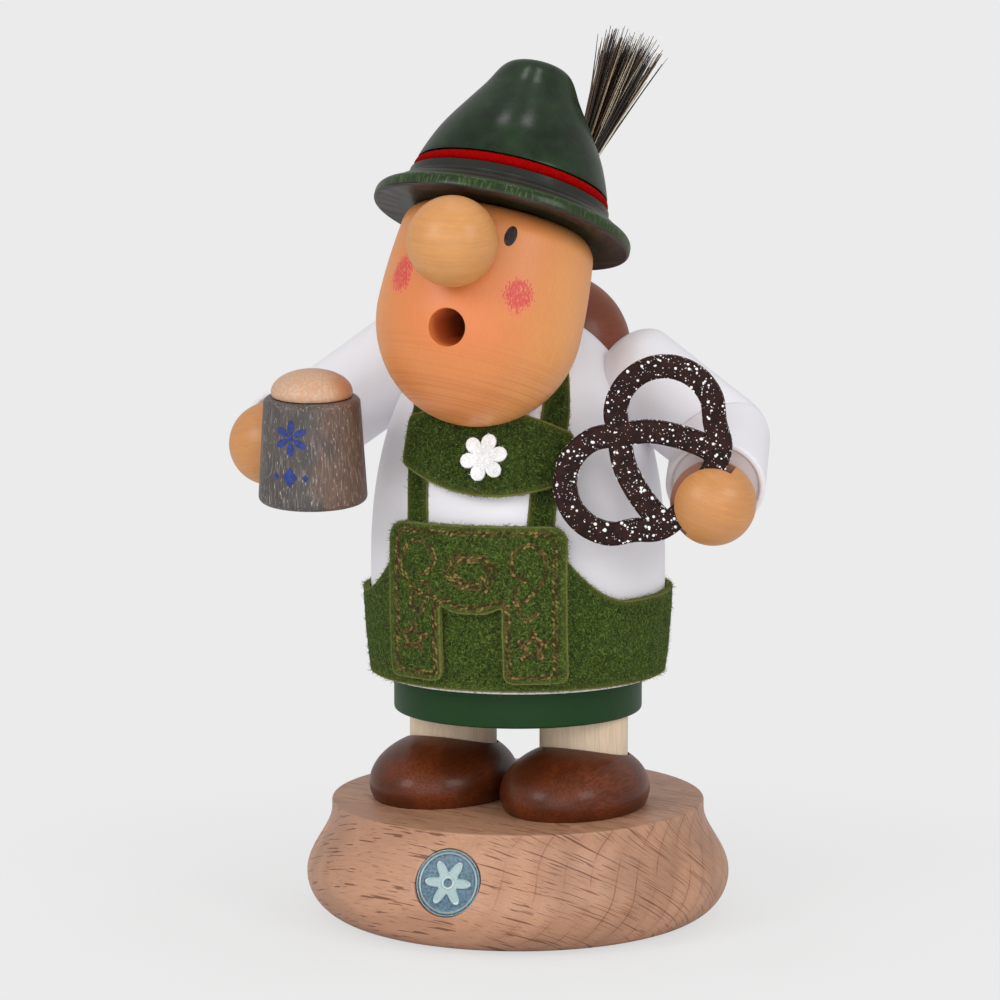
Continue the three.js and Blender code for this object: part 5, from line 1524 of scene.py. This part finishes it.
def flap_outline():
    """Front flap: two legs with a dipping arc between them, all corners rounded."""
    w, low, inner = FLAP_HALF_WIDTH, FLAP_BOTTOM, FLAP_LEG_INNER
    corners = [
        (-w, FLAP_TOP, 3.6), (-w, low, 2), (-inner, low, 2), (-inner, FLAP_DIP, 0.3),
        (-inner / 2, FLAP_DIP - FLAP_SAG, 1.4), (inner / 2, FLAP_DIP - FLAP_SAG, 1.4),
        (inner, FLAP_DIP, 0.3), (inner, low, 2), (w, low, 2), (w, FLAP_TOP, 3.6)]
    return rounded(corners, 9)


def bar_outline():
    """Chest bar: both long edges are parabolas through a sag, the ends rounded."""
    x, z, c = BAR_HALF_LENGTH, BAR_END, 1.6
    end = z + 0.3
    low = [(-x, c - z), (c - x, -end), (x - c, -end), (x, c - z)]
    bends = [(-x, -z), (0, -z - 2 * BAR_SAG), (x, -z)]
    half = np.concatenate([parabola(low[k], bends[k], low[k + 1], 40) for k in range(3)])
    turn = radians(-BAR_TILT)
    line = np.concatenate([half, -half])
    return np.stack([
        line[:, 0] * cos(turn) + line[:, 1] * sin(turn),
        BAR_HEIGHT - line[:, 0] * sin(turn) + line[:, 1] * cos(turn)], -1)


def flower_outline():
    """Flower: the reach is the radius times 0.44 + 0.56 |cos(3 angle)| ** 0.5."""
    angle = np.linspace(0, 2 * pi, 480, endpoint=False)
    reach = FLOWER_RADIUS * (0.44 + 0.56 * np.sqrt(np.abs(np.cos(3 * angle))))
    turn = angle + radians(FLOWER_SPIN)
    return np.stack(
        [FLOWER_SHIFT + reach * np.sin(turn), FLOWER_HEIGHT + reach * np.cos(turn)], -1)


def ripple(points, amount, generator):
    """Slow swell of a sheet: a sum of a few waves with random ways and phases."""
    ways = generator.normal(size=(7, points.shape[-1])) * 0.55
    phases = generator.random(7) * 2 * pi
    return amount * np.sin(points @ ways.T + phases).sum(-1) / 7


def close_line(outline, spacing):
    """Closed outline spaced evenly."""
    return even(np.concatenate([outline, outline[:1]]), spacing, closed=True)


class SMOKER_OT_clothes(bpy.types.Operator):
    """Felt trousers, flap, suspenders, chest bar and flower, with fuzz and embroidery"""

    bl_idname = "smoker.clothes"
    bl_label = "Felt clothes"

    def execute(self, context):
        self.generator = np.random.default_rng(11)
        self.fuzz_length = context.scene.smoker_sizes.fuzz_length * 1000
        self.pitch = context.scene.smoker_sizes.stitch * 1000
        self.cloth = green_felt()
        self.loose = fibre_finish("felt_fibres", [
            (0.0, linear(26, 40, 13)), (0.45, linear(60, 84, 28)), (0.8, linear(94, 120, 48)),
            (1.0, linear(134, 134, 80))], 0.9)
        self.make_trousers()
        self.make_flap()
        for side, sign in (("right", -1), ("left", 1)):
            self.make_strap(side, sign)
        self.make_bar()
        self.make_flower()
        return {"FINISHED"}

    @staticmethod
    def cut(made, thickness=FELT):
        """Gives a sheet its thickness and softens its cut edges."""
        thicken(made, thickness)
        soften(made, 0.16, 55.0)

    def patch(self, name, outline, spacing, offset, place, thickness=FELT, swell=0.05):
        """Sheet of an outline of the front view, wrapped round the torso."""
        flat, faces = filled(close_line(outline, spacing), spacing)
        lift = offset + ripple(flat, swell, self.generator)
        made = piece(name, on_torso(flat[:, 0], flat[:, 1], lift), [faces], place, merge=False)
        line = close_line(outline, 0.1)
        tone(made, np.linalg.norm(flat[:, None] - line[None], axis=2).min(1), "edge")
        self.cut(made, thickness)
        return made

    def fuzz(self, made, count, length, finish=None, slot="green_felt"):
        """Loose fibres that lie on a sheet and stand off its edges."""
        roots, normals = surface_points(made, count, self.generator, self.outer)
        wild = self.generator.normal(size=(count, 3))
        flat = unit(wild - normals * np.einsum("nk,nk->n", wild, normals)[:, None])
        lift = 0.12 + 0.6 * self.generator.random((count, 1)) ** 3
        ways = unit(flat * (1 - lift * 0.5) + normals * lift)
        bends = -normals * 0.45 * lift + self.generator.normal(size=(count, 3)) * 0.18
        lengths = length * (0.4 + 0.7 * self.generator.random(count) ** 1.6)
        widths = 0.026 + 0.024 * self.generator.random(count)
        points, faces = fibres(roots - normals * 0.05, ways, bends, lengths, widths, 2)
        hair = piece(made.name.replace("_felt", "_fibres"), points, faces, merge=False)
        tone(hair, np.repeat(self.generator.random(count), 9))
        return finished(hair, finish or self.loose, "figure", slot)

    @staticmethod
    def outer(centres, normals):
        """Weight of a sheet's triangles: none on its inner side, more on its cut edges."""
        facing = np.einsum("nk,nk->n", normals[:, :2], unit(centres[:, :2]))
        return np.where(facing < -0.3, 0.0, np.where(facing < 0.5, 4.5, 1.0))

    def make_trousers(self):
        """Ring of felt: a grid of the way round and the height up to a waist that rises in front
        with the square of the way from the hip."""
        round_way = np.linspace(-180, 180, 300, endpoint=False)
        share = np.clip((RISE_ANGLE - np.abs(round_way)) / (RISE_ANGLE / 2), 0, 1)
        waist = WAIST + FRONT_RISE * share**2
        rise = np.linspace(0, 1, 34)[:, None]
        height = HEM + (waist - HEM) * rise
        angle = np.radians(np.broadcast_to(round_way, height.shape))
        swell = ripple(np.stack([np.sin(angle) * 9, np.cos(angle) * 9, height], -1), 0.06,
                       self.generator)
        points = wrapped(torso_radius(height, FELT_GAP) + swell, angle, height)
        made = piece("trousers_felt", points, [quads(*height.shape)], CLOTHES, merge=False)
        tone(made, np.minimum(height - HEM, waist - height).ravel(), "edge")
        self.cut(made)
        finished(made, self.cloth, "figure", "green_felt", "felt_trousers")
        hair = self.fuzz(made, 12500, self.fuzz_length)

    def make_flap(self):
        """Flap with its stitched double rows and ornaments."""
        offset = 2 * FELT_GAP + FELT
        made = self.patch("flap_felt", flap_outline(), 0.55, offset, CLOTHES)
        finished(made, self.cloth, "figure", "green_felt", "trouser_flap")
        hair = self.fuzz(made, 5600, self.fuzz_length * 1.15)
        stitches = self.embroider(offset + FELT)

    def embroider(self, offset):
        """Stitches along the flap's curves: a short bead each, turned with its curve."""
        outline = flap_outline()
        rows = [(self.inset(outline, 1.1), True, 0.0), (self.inset(outline, 1.62), True, 0.0)]
        for off in (-0.24, 0.24):
            rows += [(line, False, off) for line in (LEFT_LOOP, LEFT_CURL, RIGHT_LOOP, RIGHT_HOOK)]
            rows += [(LEFT_DROP, True, off)]
        wreath = np.array(WREATH)
        centre = wreath.mean(0)
        for size in (1.0, 0.88, 0.72, 0.6):
            rows += [(centre + (self.edges(wreath) - centre) * size, True, 0.0)]
        for x, z, radius, lean in STARS:
            turn = np.arange(10) * pi / 5 + radians(lean)
            reach = np.where(np.arange(10) % 2, 0.5, 1.0) * radius
            star = np.stack([x + reach * np.sin(turn), z + reach * np.cos(turn)], -1)
            for share in (1.0, 0.82, 0.6):
                rows += [(self.edges((x, z) + (star - (x, z)) * share), True, 0.0)]
        spots, ways = [], []
        for line, closed, off in rows:
            smooth = smooth_line(line, self.pitch * 0.8, closed)
            step = unit(np.gradient(smooth, axis=0))
            spots.append(smooth + step[:, ::-1] * np.array([-off, off]))
            ways.append(step)
        spot, way = np.concatenate(spots), np.concatenate(ways)
        count = len(spot)
        spot = spot + self.generator.normal(size=spot.shape) * 0.05
        twist = 0.34 + self.generator.normal(size=count) * 0.3
        way = np.stack([way[:, 0] * np.cos(twist) - way[:, 1] * np.sin(twist),
                        way[:, 0] * np.sin(twist) + way[:, 1] * np.cos(twist)], -1)
        centre = on_torso(spot[:, 0], spot[:, 1], offset + 0.03)
        ahead = on_torso(*(spot + way * 0.3).T, offset + 0.03)
        x_axis = unit(ahead - centre)
        y_axis = unit(np.cross(unit(centre * np.array([1, 1, 0])), x_axis))
        frames = np.stack([y_axis, np.cross(x_axis, y_axis), x_axis], 1)
        size = np.stack([
            0.16 + 0.1 * self.generator.random(count), np.full(count, 0.15),
            self.pitch * (0.36 + 0.14 * self.generator.random(count))], -1)
        points, faces = beads(centre, frames, size, 6)
        made = piece("flap_embroidery", points, faces, CLOTHES, merge=False)
        tone(made, np.repeat(self.generator.random(count), 30))
        return finished(made, thread(), "figure", "green_felt")

    @staticmethod
    def inset(outline, distance):
        """Closed line at a distance inside an outline."""
        line = close_line(outline, 0.8)
        ahead = np.roll(line, -1, axis=0) - np.roll(line, 1, axis=0)
        moved = line + unit(np.stack([-ahead[:, 1], ahead[:, 0]], -1)) * distance
        gap = np.linalg.norm(moved[:, None] - line[None], axis=2).min(1)
        return moved[gap > distance * 0.97]

    @staticmethod
    def edges(corners):
        """Closed corners with points between them, so that the smooth line keeps its corners."""
        after = np.roll(corners, -1, axis=0)
        shares = np.array([0.04, 0.5, 0.96])[:, None]
        parts = corners[:, None] * (1 - shares) + after[:, None] * shares
        return parts.reshape(-1, 2)

    def make_strap(self, side, sign):
        """Suspender: a grid of the way over the shoulder and the width."""
        front = degrees(atan2(FLAP_TOP - TORSO_GIRTH_HEIGHT - 1.5, 24.6))
        back = 180 + degrees(atan2(TORSO_GIRTH_HEIGHT - WAIST - FELT_GAP, 27.0))
        angle = np.linspace(front, back, 200)[:, None]
        middle = over_torso(np.full(angle.shape, 12.0), angle, FELT_GAP)
        height = middle[..., 2]
        rise = np.clip((height - STRAP_LOW) / (STRAP_HIGH - STRAP_LOW), 0, 1)
        over = np.clip((height - STRAP_HIGH) / (STRAP_TOP - STRAP_HIGH), 0, 1)
        centre = STRAP_LOW_OFFSET + (STRAP_HIGH_OFFSET - STRAP_LOW_OFFSET) * rise
        centre = centre - (STRAP_HIGH_OFFSET - STRAP_TOP_OFFSET) * over**2
        x = centre + np.linspace(-0.5, 0.5, 12)[None] * STRAP_WIDTH
        points = over_torso(sign * x, np.broadcast_to(angle, x.shape), FELT_GAP)
        faces = quads(*x.shape, close_columns=False)
        made = piece(f"suspender_{side}_felt", points, [faces[:, ::-sign]], CLOTHES, merge=False)
        tone(made, (STRAP_WIDTH / 2 - np.abs(x - centre)).ravel(), "edge")
        self.cut(made)
        finished(made, self.cloth, "figure", "green_felt", f"suspender_{side}")
        self.fuzz(made, 2200, self.fuzz_length)

    def make_bar(self):
        """Chest bar over both suspenders."""
        offset = 2 * FELT_GAP + FELT
        made = self.patch("chest_bar_felt", bar_outline(), 0.5, offset, BAR)
        finished(made, self.cloth, "figure", "green_felt", "chest_bar")
        hair = self.fuzz(made, 1900, self.fuzz_length)

    def make_flower(self):
        """Flower of six petals on the chest bar."""
        offset = 3 * FELT_GAP + 2 * FELT - 0.2
        made = self.patch("flower_felt", flower_outline(), 0.22, offset, BAR, 0.9, 0.02)
        finished(made, white_felt(), "figure", "white_felt", "flower")
        pale = fibre_finish("flower_fibres_white", [
            (0.0, linear(226, 226, 228)), (1.0, linear(252, 252, 252))], 0.8)
        self.fuzz(made, 500, 0.5, pale, "white_felt")


def head_outline():
    """Head: half an ellipse below, a wall that draws in, and a quarter round at the top edge."""
    below = arc((0, 0), (HEAD_RADIUS, HEAD_DEPTH), -90, 0, 44)
    share = np.linspace(0, 1, 16)[1:]
    wall = np.stack([
        HEAD_RADIUS - (HEAD_RADIUS - HEAD_TOP_RADIUS) * share**2, HEAD_WALL * share], -1)
    edge = arc((HEAD_TOP_RADIUS - HEAD_EDGE, HEAD_WALL), (HEAD_EDGE, HEAD_EDGE), 0, 90, 16)[1:]
    return np.concatenate([below, wall, edge, [(0, HEAD_WALL + HEAD_EDGE)]])


class SMOKER_OT_head(bpy.types.Operator):
    """Head with its mouth, nose and painted eyes"""

    bl_idname = "smoker.head"
    bl_label = "Head"

    def execute(self, context):
        head = grid_piece("head_turned", turned(head_outline(), 176), HEAD)
        mouth = turn_about("Z", MOUTH_TURN) @ turn_about("X", MOUTH_DROP)
        axis = mouth @ Vector((0, -1, 0))
        carve(head, rod(axis * -2, axis * 26, MOUTH_RADIUS, HEAD, sides=80))
        carve(head, rod(
            axis * 18.2, axis * 21.2, MOUTH_RADIUS - 0.25, HEAD, MOUTH_RADIUS + 1.2, 80))
        nose = (0, -NOSE_REACH, NOSE_HEIGHT)
        carve(head, grid_piece("cutter", ellipsoid(nose, [NOSE_RADIUS + 0.12] * 3, 96), HEAD))
        carve(head, torso_cutter(144))
        low, high = (HEAD.inverted() @ UPPER @ point for point in neck_line())
        carve(head, rod(low, high, NECK_BORE_RADIUS, HEAD))
        carve(head, rod(low, (0, 0, 0), 3.5, HEAD))
        soften(head, 0.14)
        finished(head, skin(), "figure", "skin_lacquer", "head")
        ball = grid_piece("nose_turned", ellipsoid(nose, [NOSE_RADIUS] * 3, 128), HEAD)
        lacquer = ball_lacquer("nose_lacquer", colour("nose"))
        finished(ball, lacquer, "figure", "skin_lacquer", "nose")
        paint = eye_paint()
        for side, sign in (("right", -1), ("left", 1)):
            self.make_eye(side, sign, paint)
        return {"FINISHED"}

    @staticmethod
    def make_eye(side, sign, paint):
        """Eye: a flat oval lens wrapped on the head, its height a square root towards the edge."""
        r, a = np.meshgrid(np.linspace(0, 1, 14), np.linspace(0, 2 * pi, 48, endpoint=False),
                           indexing="ij")
        lean = radians(9)
        u, v = 1.15 * r * np.cos(a), 1.95 * r * np.sin(a)
        across, up = u * cos(lean) + v * sin(lean), v * cos(lean) - u * sin(lean)
        angle = radians(sign * EYE_AZIMUTH) + across / HEAD_RADIUS
        height = EYE_HEIGHT + up
        outline = head_outline()
        radius = np.interp(height, outline[:, 1], outline[:, 0])
        front = wrapped(
            radius + 0.07 * np.sqrt(np.clip(1 - r**2, 0, 1)) - 0.01, angle, height)
        back = wrapped(radius[-1:] - 0.3, angle[-1:], height[-1:])
        middle = np.broadcast_to(back.mean(1, keepdims=True), back.shape)
        made = grid_piece(f"eye_{side}", np.concatenate([front, back, middle]), HEAD)
        finished(made, paint, "figure", "skin_lacquer", sharp=60)


def hat_outline():
    """Hat: flat underside, rounded brim, a low step, the cord's groove and the crown's curve."""
    brim = rounded([
        (HEAD_TOP_RADIUS, HAT_SINK + SEAT_GAP, 0), (BRIM_RADIUS - 0.1, 0, 0.9),
        (BRIM_RADIUS - 0.2, BRIM_THICKNESS, 1.0), (20.9, 3.7, 0.3), (20.5, 4.2, 0.3),
        (18.7, 5.2, 0.5), (CROWN[0][0], CROWN[0][1], 0)], 8)
    crown = smooth_line(CROWN, 0.45)
    crown[-1, 0] = 0
    foot = crown[crown[:, 1] < CORD_HEIGHT - 1.5]
    above = crown[crown[:, 1] > CORD_HEIGHT + 1.5]
    groove = arc((CORD_RING + 0.15, CORD_HEIGHT), (1.25, 1.25), 290, 70, 12)
    hollow = HAT_SINK + 6.3
    under = [(0, hollow), (NECK_BORE_RADIUS, hollow), (NECK_BORE_RADIUS, HAT_SINK + SEAT_GAP)]
    return np.concatenate([under, brim, foot[1:], groove, above])


class SMOKER_OT_hat(bpy.types.Operator):
    """Hat with its cord and its tuft of hair"""

    bl_idname = "smoker.hat"
    bl_label = "Hat"

    def execute(self, context):
        finished(grid_piece("hat_turned", turned(hat_outline(), 192), HAT), hat_paint(), "figure",
                 "hat_paint", "hat")
        angle = np.linspace(0, 2 * pi, 720, endpoint=False)
        turn = np.linspace(0, 2 * pi, 14, endpoint=False)[:, None]
        radius = CORD_RADIUS * (1 + 0.02 * np.cos(2 * turn + 46 * angle))
        ring = CORD_RING + radius * np.cos(turn)
        cord = np.stack([ring * np.cos(angle), ring * np.sin(angle),
                         CORD_HEIGHT + radius * np.sin(turn)], -1)
        finished(grid_piece("hat_cord_twisted", cord, HAT, close_rows=True), red_cord(), "figure",
                 "red_cord", "hat_cord")
        self.make_tuft(context.scene.smoker_sizes)
        return {"FINISHED"}

    @staticmethod
    def make_tuft(sizes):
        """Hairs that leave a small round root, fan out and bend a little with their length."""
        generator = np.random.default_rng(29)
        crown = smooth_line(CROWN, 0.1)
        root_radius = float(np.interp(TUFT_HEIGHT, crown[:, 1], crown[:, 0]))
        azimuth = radians(TUFT_AZIMUTH)
        root = Vector((sin(azimuth), -cos(azimuth), 0)) * root_radius + Vector((0, 0, TUFT_HEIGHT))
        axis = Vector((root.y, -root.x, 0)).normalized()
        place = HAT @ shift(*root) @ Matrix.Rotation(radians(-TUFT_LEAN), 4, axis)
        count = sizes.hairs
        angle = generator.random(count) * 2 * pi
        reach = np.sqrt(generator.random(count))
        spread = reach * 0.17 + generator.normal(size=count) * 0.012
        roots = np.stack([reach * 1.55 * np.cos(angle), reach * 1.55 * np.sin(angle),
                          np.full(count, TUFT_PLUG_PROUD - 0.6)], -1)
        ways = np.stack([spread * np.cos(angle), spread * np.sin(angle), np.ones(count)], -1)
        ways = unit(ways + generator.normal(size=ways.shape) * 0.012)
        bends = generator.normal(size=(count, 3)) * 0.022
        lengths = sizes.hair_length * 1000 * (0.8 + 0.26 * generator.random(count) ** 0.6)
        widths = 0.13 + 0.1 * generator.random(count)
        points, faces = fibres(roots, ways, bends, lengths, widths, 6)
        made = piece("hair_tuft_strands", points, faces, place, merge=False)
        tone(made, np.repeat(generator.random(count), 21))
        hair = fibre_finish("tuft_hair", [
            (0.0, linear(18, 14, 12)), (0.62, linear(44, 30, 22)), (0.8, linear(112, 82, 58)),
            (0.93, linear(196, 178, 150)), (1.0, linear(228, 220, 206))], 0.45)
        finished(made, hair, "figure", "hair", "hair_tuft")


def mug_profile(grow):
    """Mug: a slanting wall with rounded top and bottom edges."""
    edge = MUG_EDGE
    low = arc((MUG_BOTTOM_RADIUS - edge + grow, edge), (edge, edge), -90, 0, 8)
    high = arc((MUG_TOP_RADIUS - edge + grow, MUG_HEIGHT - edge), (edge, edge), 0, 90, 8)
    wall = np.linspace(low[-1], high[0], 16)[1:-1]
    return np.concatenate([[(0, -grow)], low, wall, high, [(0, MUG_HEIGHT + grow)]])


class SMOKER_OT_mug(bpy.types.Operator):
    """Mug with its foam and a painted ornament"""

    bl_idname = "smoker.mug"
    bl_label = "Mug"

    def execute(self, context):
        mug = grid_piece("mug_turned", turned(mug_profile(0.0), 144), MUG)
        finished(mug, mug_stain(), "figure", "mug_stain", "mug")
        foot = MUG_HEIGHT + 0.12
        foam = np.concatenate([
            [(0, foot - 3), (3, foot - 3), (3, foot)], rounded([
                (3.2, foot, 0), (FOAM_RADIUS - 0.15, foot, 0.2), (FOAM_RADIUS, foot + 0.7, 0)]),
            arc((0, foot + 0.7), (FOAM_RADIUS, FOAM_HEIGHT - 0.7), 2, 90, 26)])
        foam[-1, 0] = 0
        finished(grid_piece("mug_foam_turned", turned(foam, 112), MUG), foam_wood(), "figure",
                 "mug_stain", "mug_foam")
        self.make_ornament()
        return {"FINISHED"}

    @staticmethod
    def make_ornament():
        """Blossom over a lozenge: flat outlines wrapped on the mug's wall a hair above it."""
        angle = np.linspace(0, 2 * pi, 60, endpoint=False)
        shapes = []
        for k in range(6):
            turn = k * pi / 3
            u, v = 0.62 * np.cos(angle), 2.0 + 1.25 * np.sin(angle)
            shapes.append(np.stack(
                [u * cos(turn) - v * sin(turn), u * sin(turn) + v * cos(turn)], -1))
        shapes.append(0.6 * np.stack([np.cos(angle), np.sin(angle)], -1))
        for x, z, half in ((0, -7.1, 1.9), (-2.9, -7.1, 0.75), (2.9, -7.1, 0.75)):
            shapes.append(np.array([
                (x - half * 0.75, z), (x, z - half), (x + half * 0.75, z), (x, z + half)]))
        points, faces, start = [], [], 0
        for shape in shapes:
            flat, parts = filled(close_line(shape, 0.16), 0.3)
            points.append(flat)
            faces.append(parts + start)
            start += len(flat)
        flat = np.concatenate(points)
        height = 13.4 + flat[:, 1]
        share = height / MUG_HEIGHT
        radius = MUG_BOTTOM_RADIUS + (MUG_TOP_RADIUS - MUG_BOTTOM_RADIUS) * share + 0.01
        spots = wrapped(radius, radians(-22) + flat[:, 0] / radius, height)
        made = piece("mug_ornament", spots, [np.concatenate(faces)], MUG, merge=False)
        thicken(made, 0.06)
        finished(made, mug_blue(), "figure", "mug_stain")


def strand_line(side):
    """Middle of a strand: from its end in the hand through the crossing round its lobe."""
    points = [
        (PRETZEL_REACH - 2.2, 7.7), (PRETZEL_REACH - 3.5, 7.7), (PRETZEL_REACH - 6.4, 7.1),
        (PRETZEL_REACH - 10, 5.8), (4.3, 3.7)]
    start = degrees(atan2(LOBE_ACROSS, -LOBE_ALONG))
    lobe = arc((LOBE_ALONG, -LOBE_ACROSS), (LOBE_RADIUS, LOBE_RADIUS), start, 330, 8)
    points += [tuple(point) for point in lobe]
    points += [(PRETZEL_REACH - 1.6, -8.4), (PRETZEL_REACH, -0.4), (PRETZEL_REACH, 0.4)]
    return smooth_line(points, 0.42) * np.array([1, side])


class SMOKER_OT_pretzel(bpy.types.Operator):
    """Pretzel sawn from a board, with its dots of salt"""

    bl_idname = "smoker.pretzel"
    bl_label = "Pretzel"

    def execute(self, context):
        pretzel = self.make_strand(1)
        carve(pretzel, self.make_strand(-1), "UNION")
        finished(pretzel, pretzel_stain(), "figure", "pretzel_stain", "pretzel")
        self.make_salt(pretzel, context.scene.smoker_sizes.salt)
        return {"FINISHED"}

    @staticmethod
    def make_strand(side):
        """Rounded section carried along the strand's middle line, its ends closed."""
        line = strand_line(side)
        way = unit(np.gradient(line, axis=0))
        across = np.stack([-way[:, 1], way[:, 0]], -1)
        w, t, r = PRETZEL_WIDTH / 2, PRETZEL_THICKNESS / 2 - 0.005 * (side < 0), 0.75
        section = rounded([(w, -t, r), (w, t, r), (-w, t, r), (-w, -t, r)])
        points = np.empty((len(line), len(section), 3))
        points[..., :2] = line[:, None] + across[:, None] * section[None, :, :1]
        points[..., 2] = section[None, :, 1]
        ends = [np.broadcast_to(np.append(line[k], 0.0), (1, len(section), 3)) for k in (0, -1)]
        return grid_piece("pretzel_sawn", np.concatenate([ends[0], points, ends[1]]), PRETZEL)

    @staticmethod
    def make_salt(pretzel, count):
        """Low round dots, most of them small, spread over the front, the edges and the back."""
        generator = np.random.default_rng(5)
        spots, normals = surface_points(pretzel, count, generator)
        side = unit(np.cross(normals, generator.normal(size=(count, 3))))
        frames = np.stack([side, np.cross(normals, side), normals], 1)
        radius = 0.055 + 0.25 * generator.random(count) ** 4.5
        size = np.stack([
            radius * (0.8 + 0.6 * generator.random(count)), radius, radius * 0.3 + 0.02], -1)
        points, faces = beads(spots, frames, size, 8)
        made = piece("pretzel_salt", points, faces, merge=False)
        finished(made, salt_paint(), "figure", "pretzel_stain")


class SMOKER_OT_dowels(bpy.types.Operator):
    """Bare wood on the dowels, the neck tube and the tuft's plug"""

    bl_idname = "smoker.dowels"
    bl_label = "Dowels"

    def execute(self, context):
        bare = limewood()
        for name in (
                "neck_tube", "rucksack_dowel", "shoulder_dowel_left", "shoulder_dowel_right",
                "wrist_dowel_left", "wrist_dowel_right", "mug_dowel", "tuft_plug"):
            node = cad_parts[name]
            node.data.materials.clear()
            node.data.materials.append(bare)
        return {"FINISHED"}


STEPS = (
    "stage", "base", "feet", "shorts", "torso", "arms", "clothes", "head", "hat", "mug", "pretzel",
    "dowels")


class SMOKER_PT_panel(bpy.types.Panel):
    """Settings and steps of the smoker"""

    bl_idname = "SMOKER_PT_panel"
    bl_label = "Incense smoker"
    bl_space_type = "VIEW_3D"
    bl_region_type = "UI"
    bl_category = "Smoker"

    def draw(self, context):
        for group in (context.scene.smoker_colours, context.scene.smoker_sizes):
            for name in group.__annotations__:
                self.layout.prop(group, name)
        for step in STEPS:
            self.layout.operator(f"smoker.{step}")


CLASSES = (
    SmokerColours, SmokerSizes, SMOKER_OT_stage, SMOKER_OT_base, SMOKER_OT_feet, SMOKER_OT_shorts,
    SMOKER_OT_torso, SMOKER_OT_arms, SMOKER_OT_clothes, SMOKER_OT_head, SMOKER_OT_hat,
    SMOKER_OT_mug, SMOKER_OT_pretzel, SMOKER_OT_dowels, SMOKER_PT_panel)


def register():
    """Adds the classes and the scene's settings."""
    for group in CLASSES:
        bpy.utils.register_class(group)
    bpy.types.Scene.smoker_colours = PointerProperty(type=SmokerColours)
    bpy.types.Scene.smoker_sizes = PointerProperty(type=SmokerSizes)


def unregister():
    """Removes what register added."""
    del bpy.types.Scene.smoker_sizes
    del bpy.types.Scene.smoker_colours
    for group in reversed(CLASSES):
        bpy.utils.unregister_class(group)


def main():
    """Makes the whole smoker."""
    register()
    for step in STEPS:
        getattr(bpy.ops.smoker, step)()


if __name__ == "__main__":
    main()
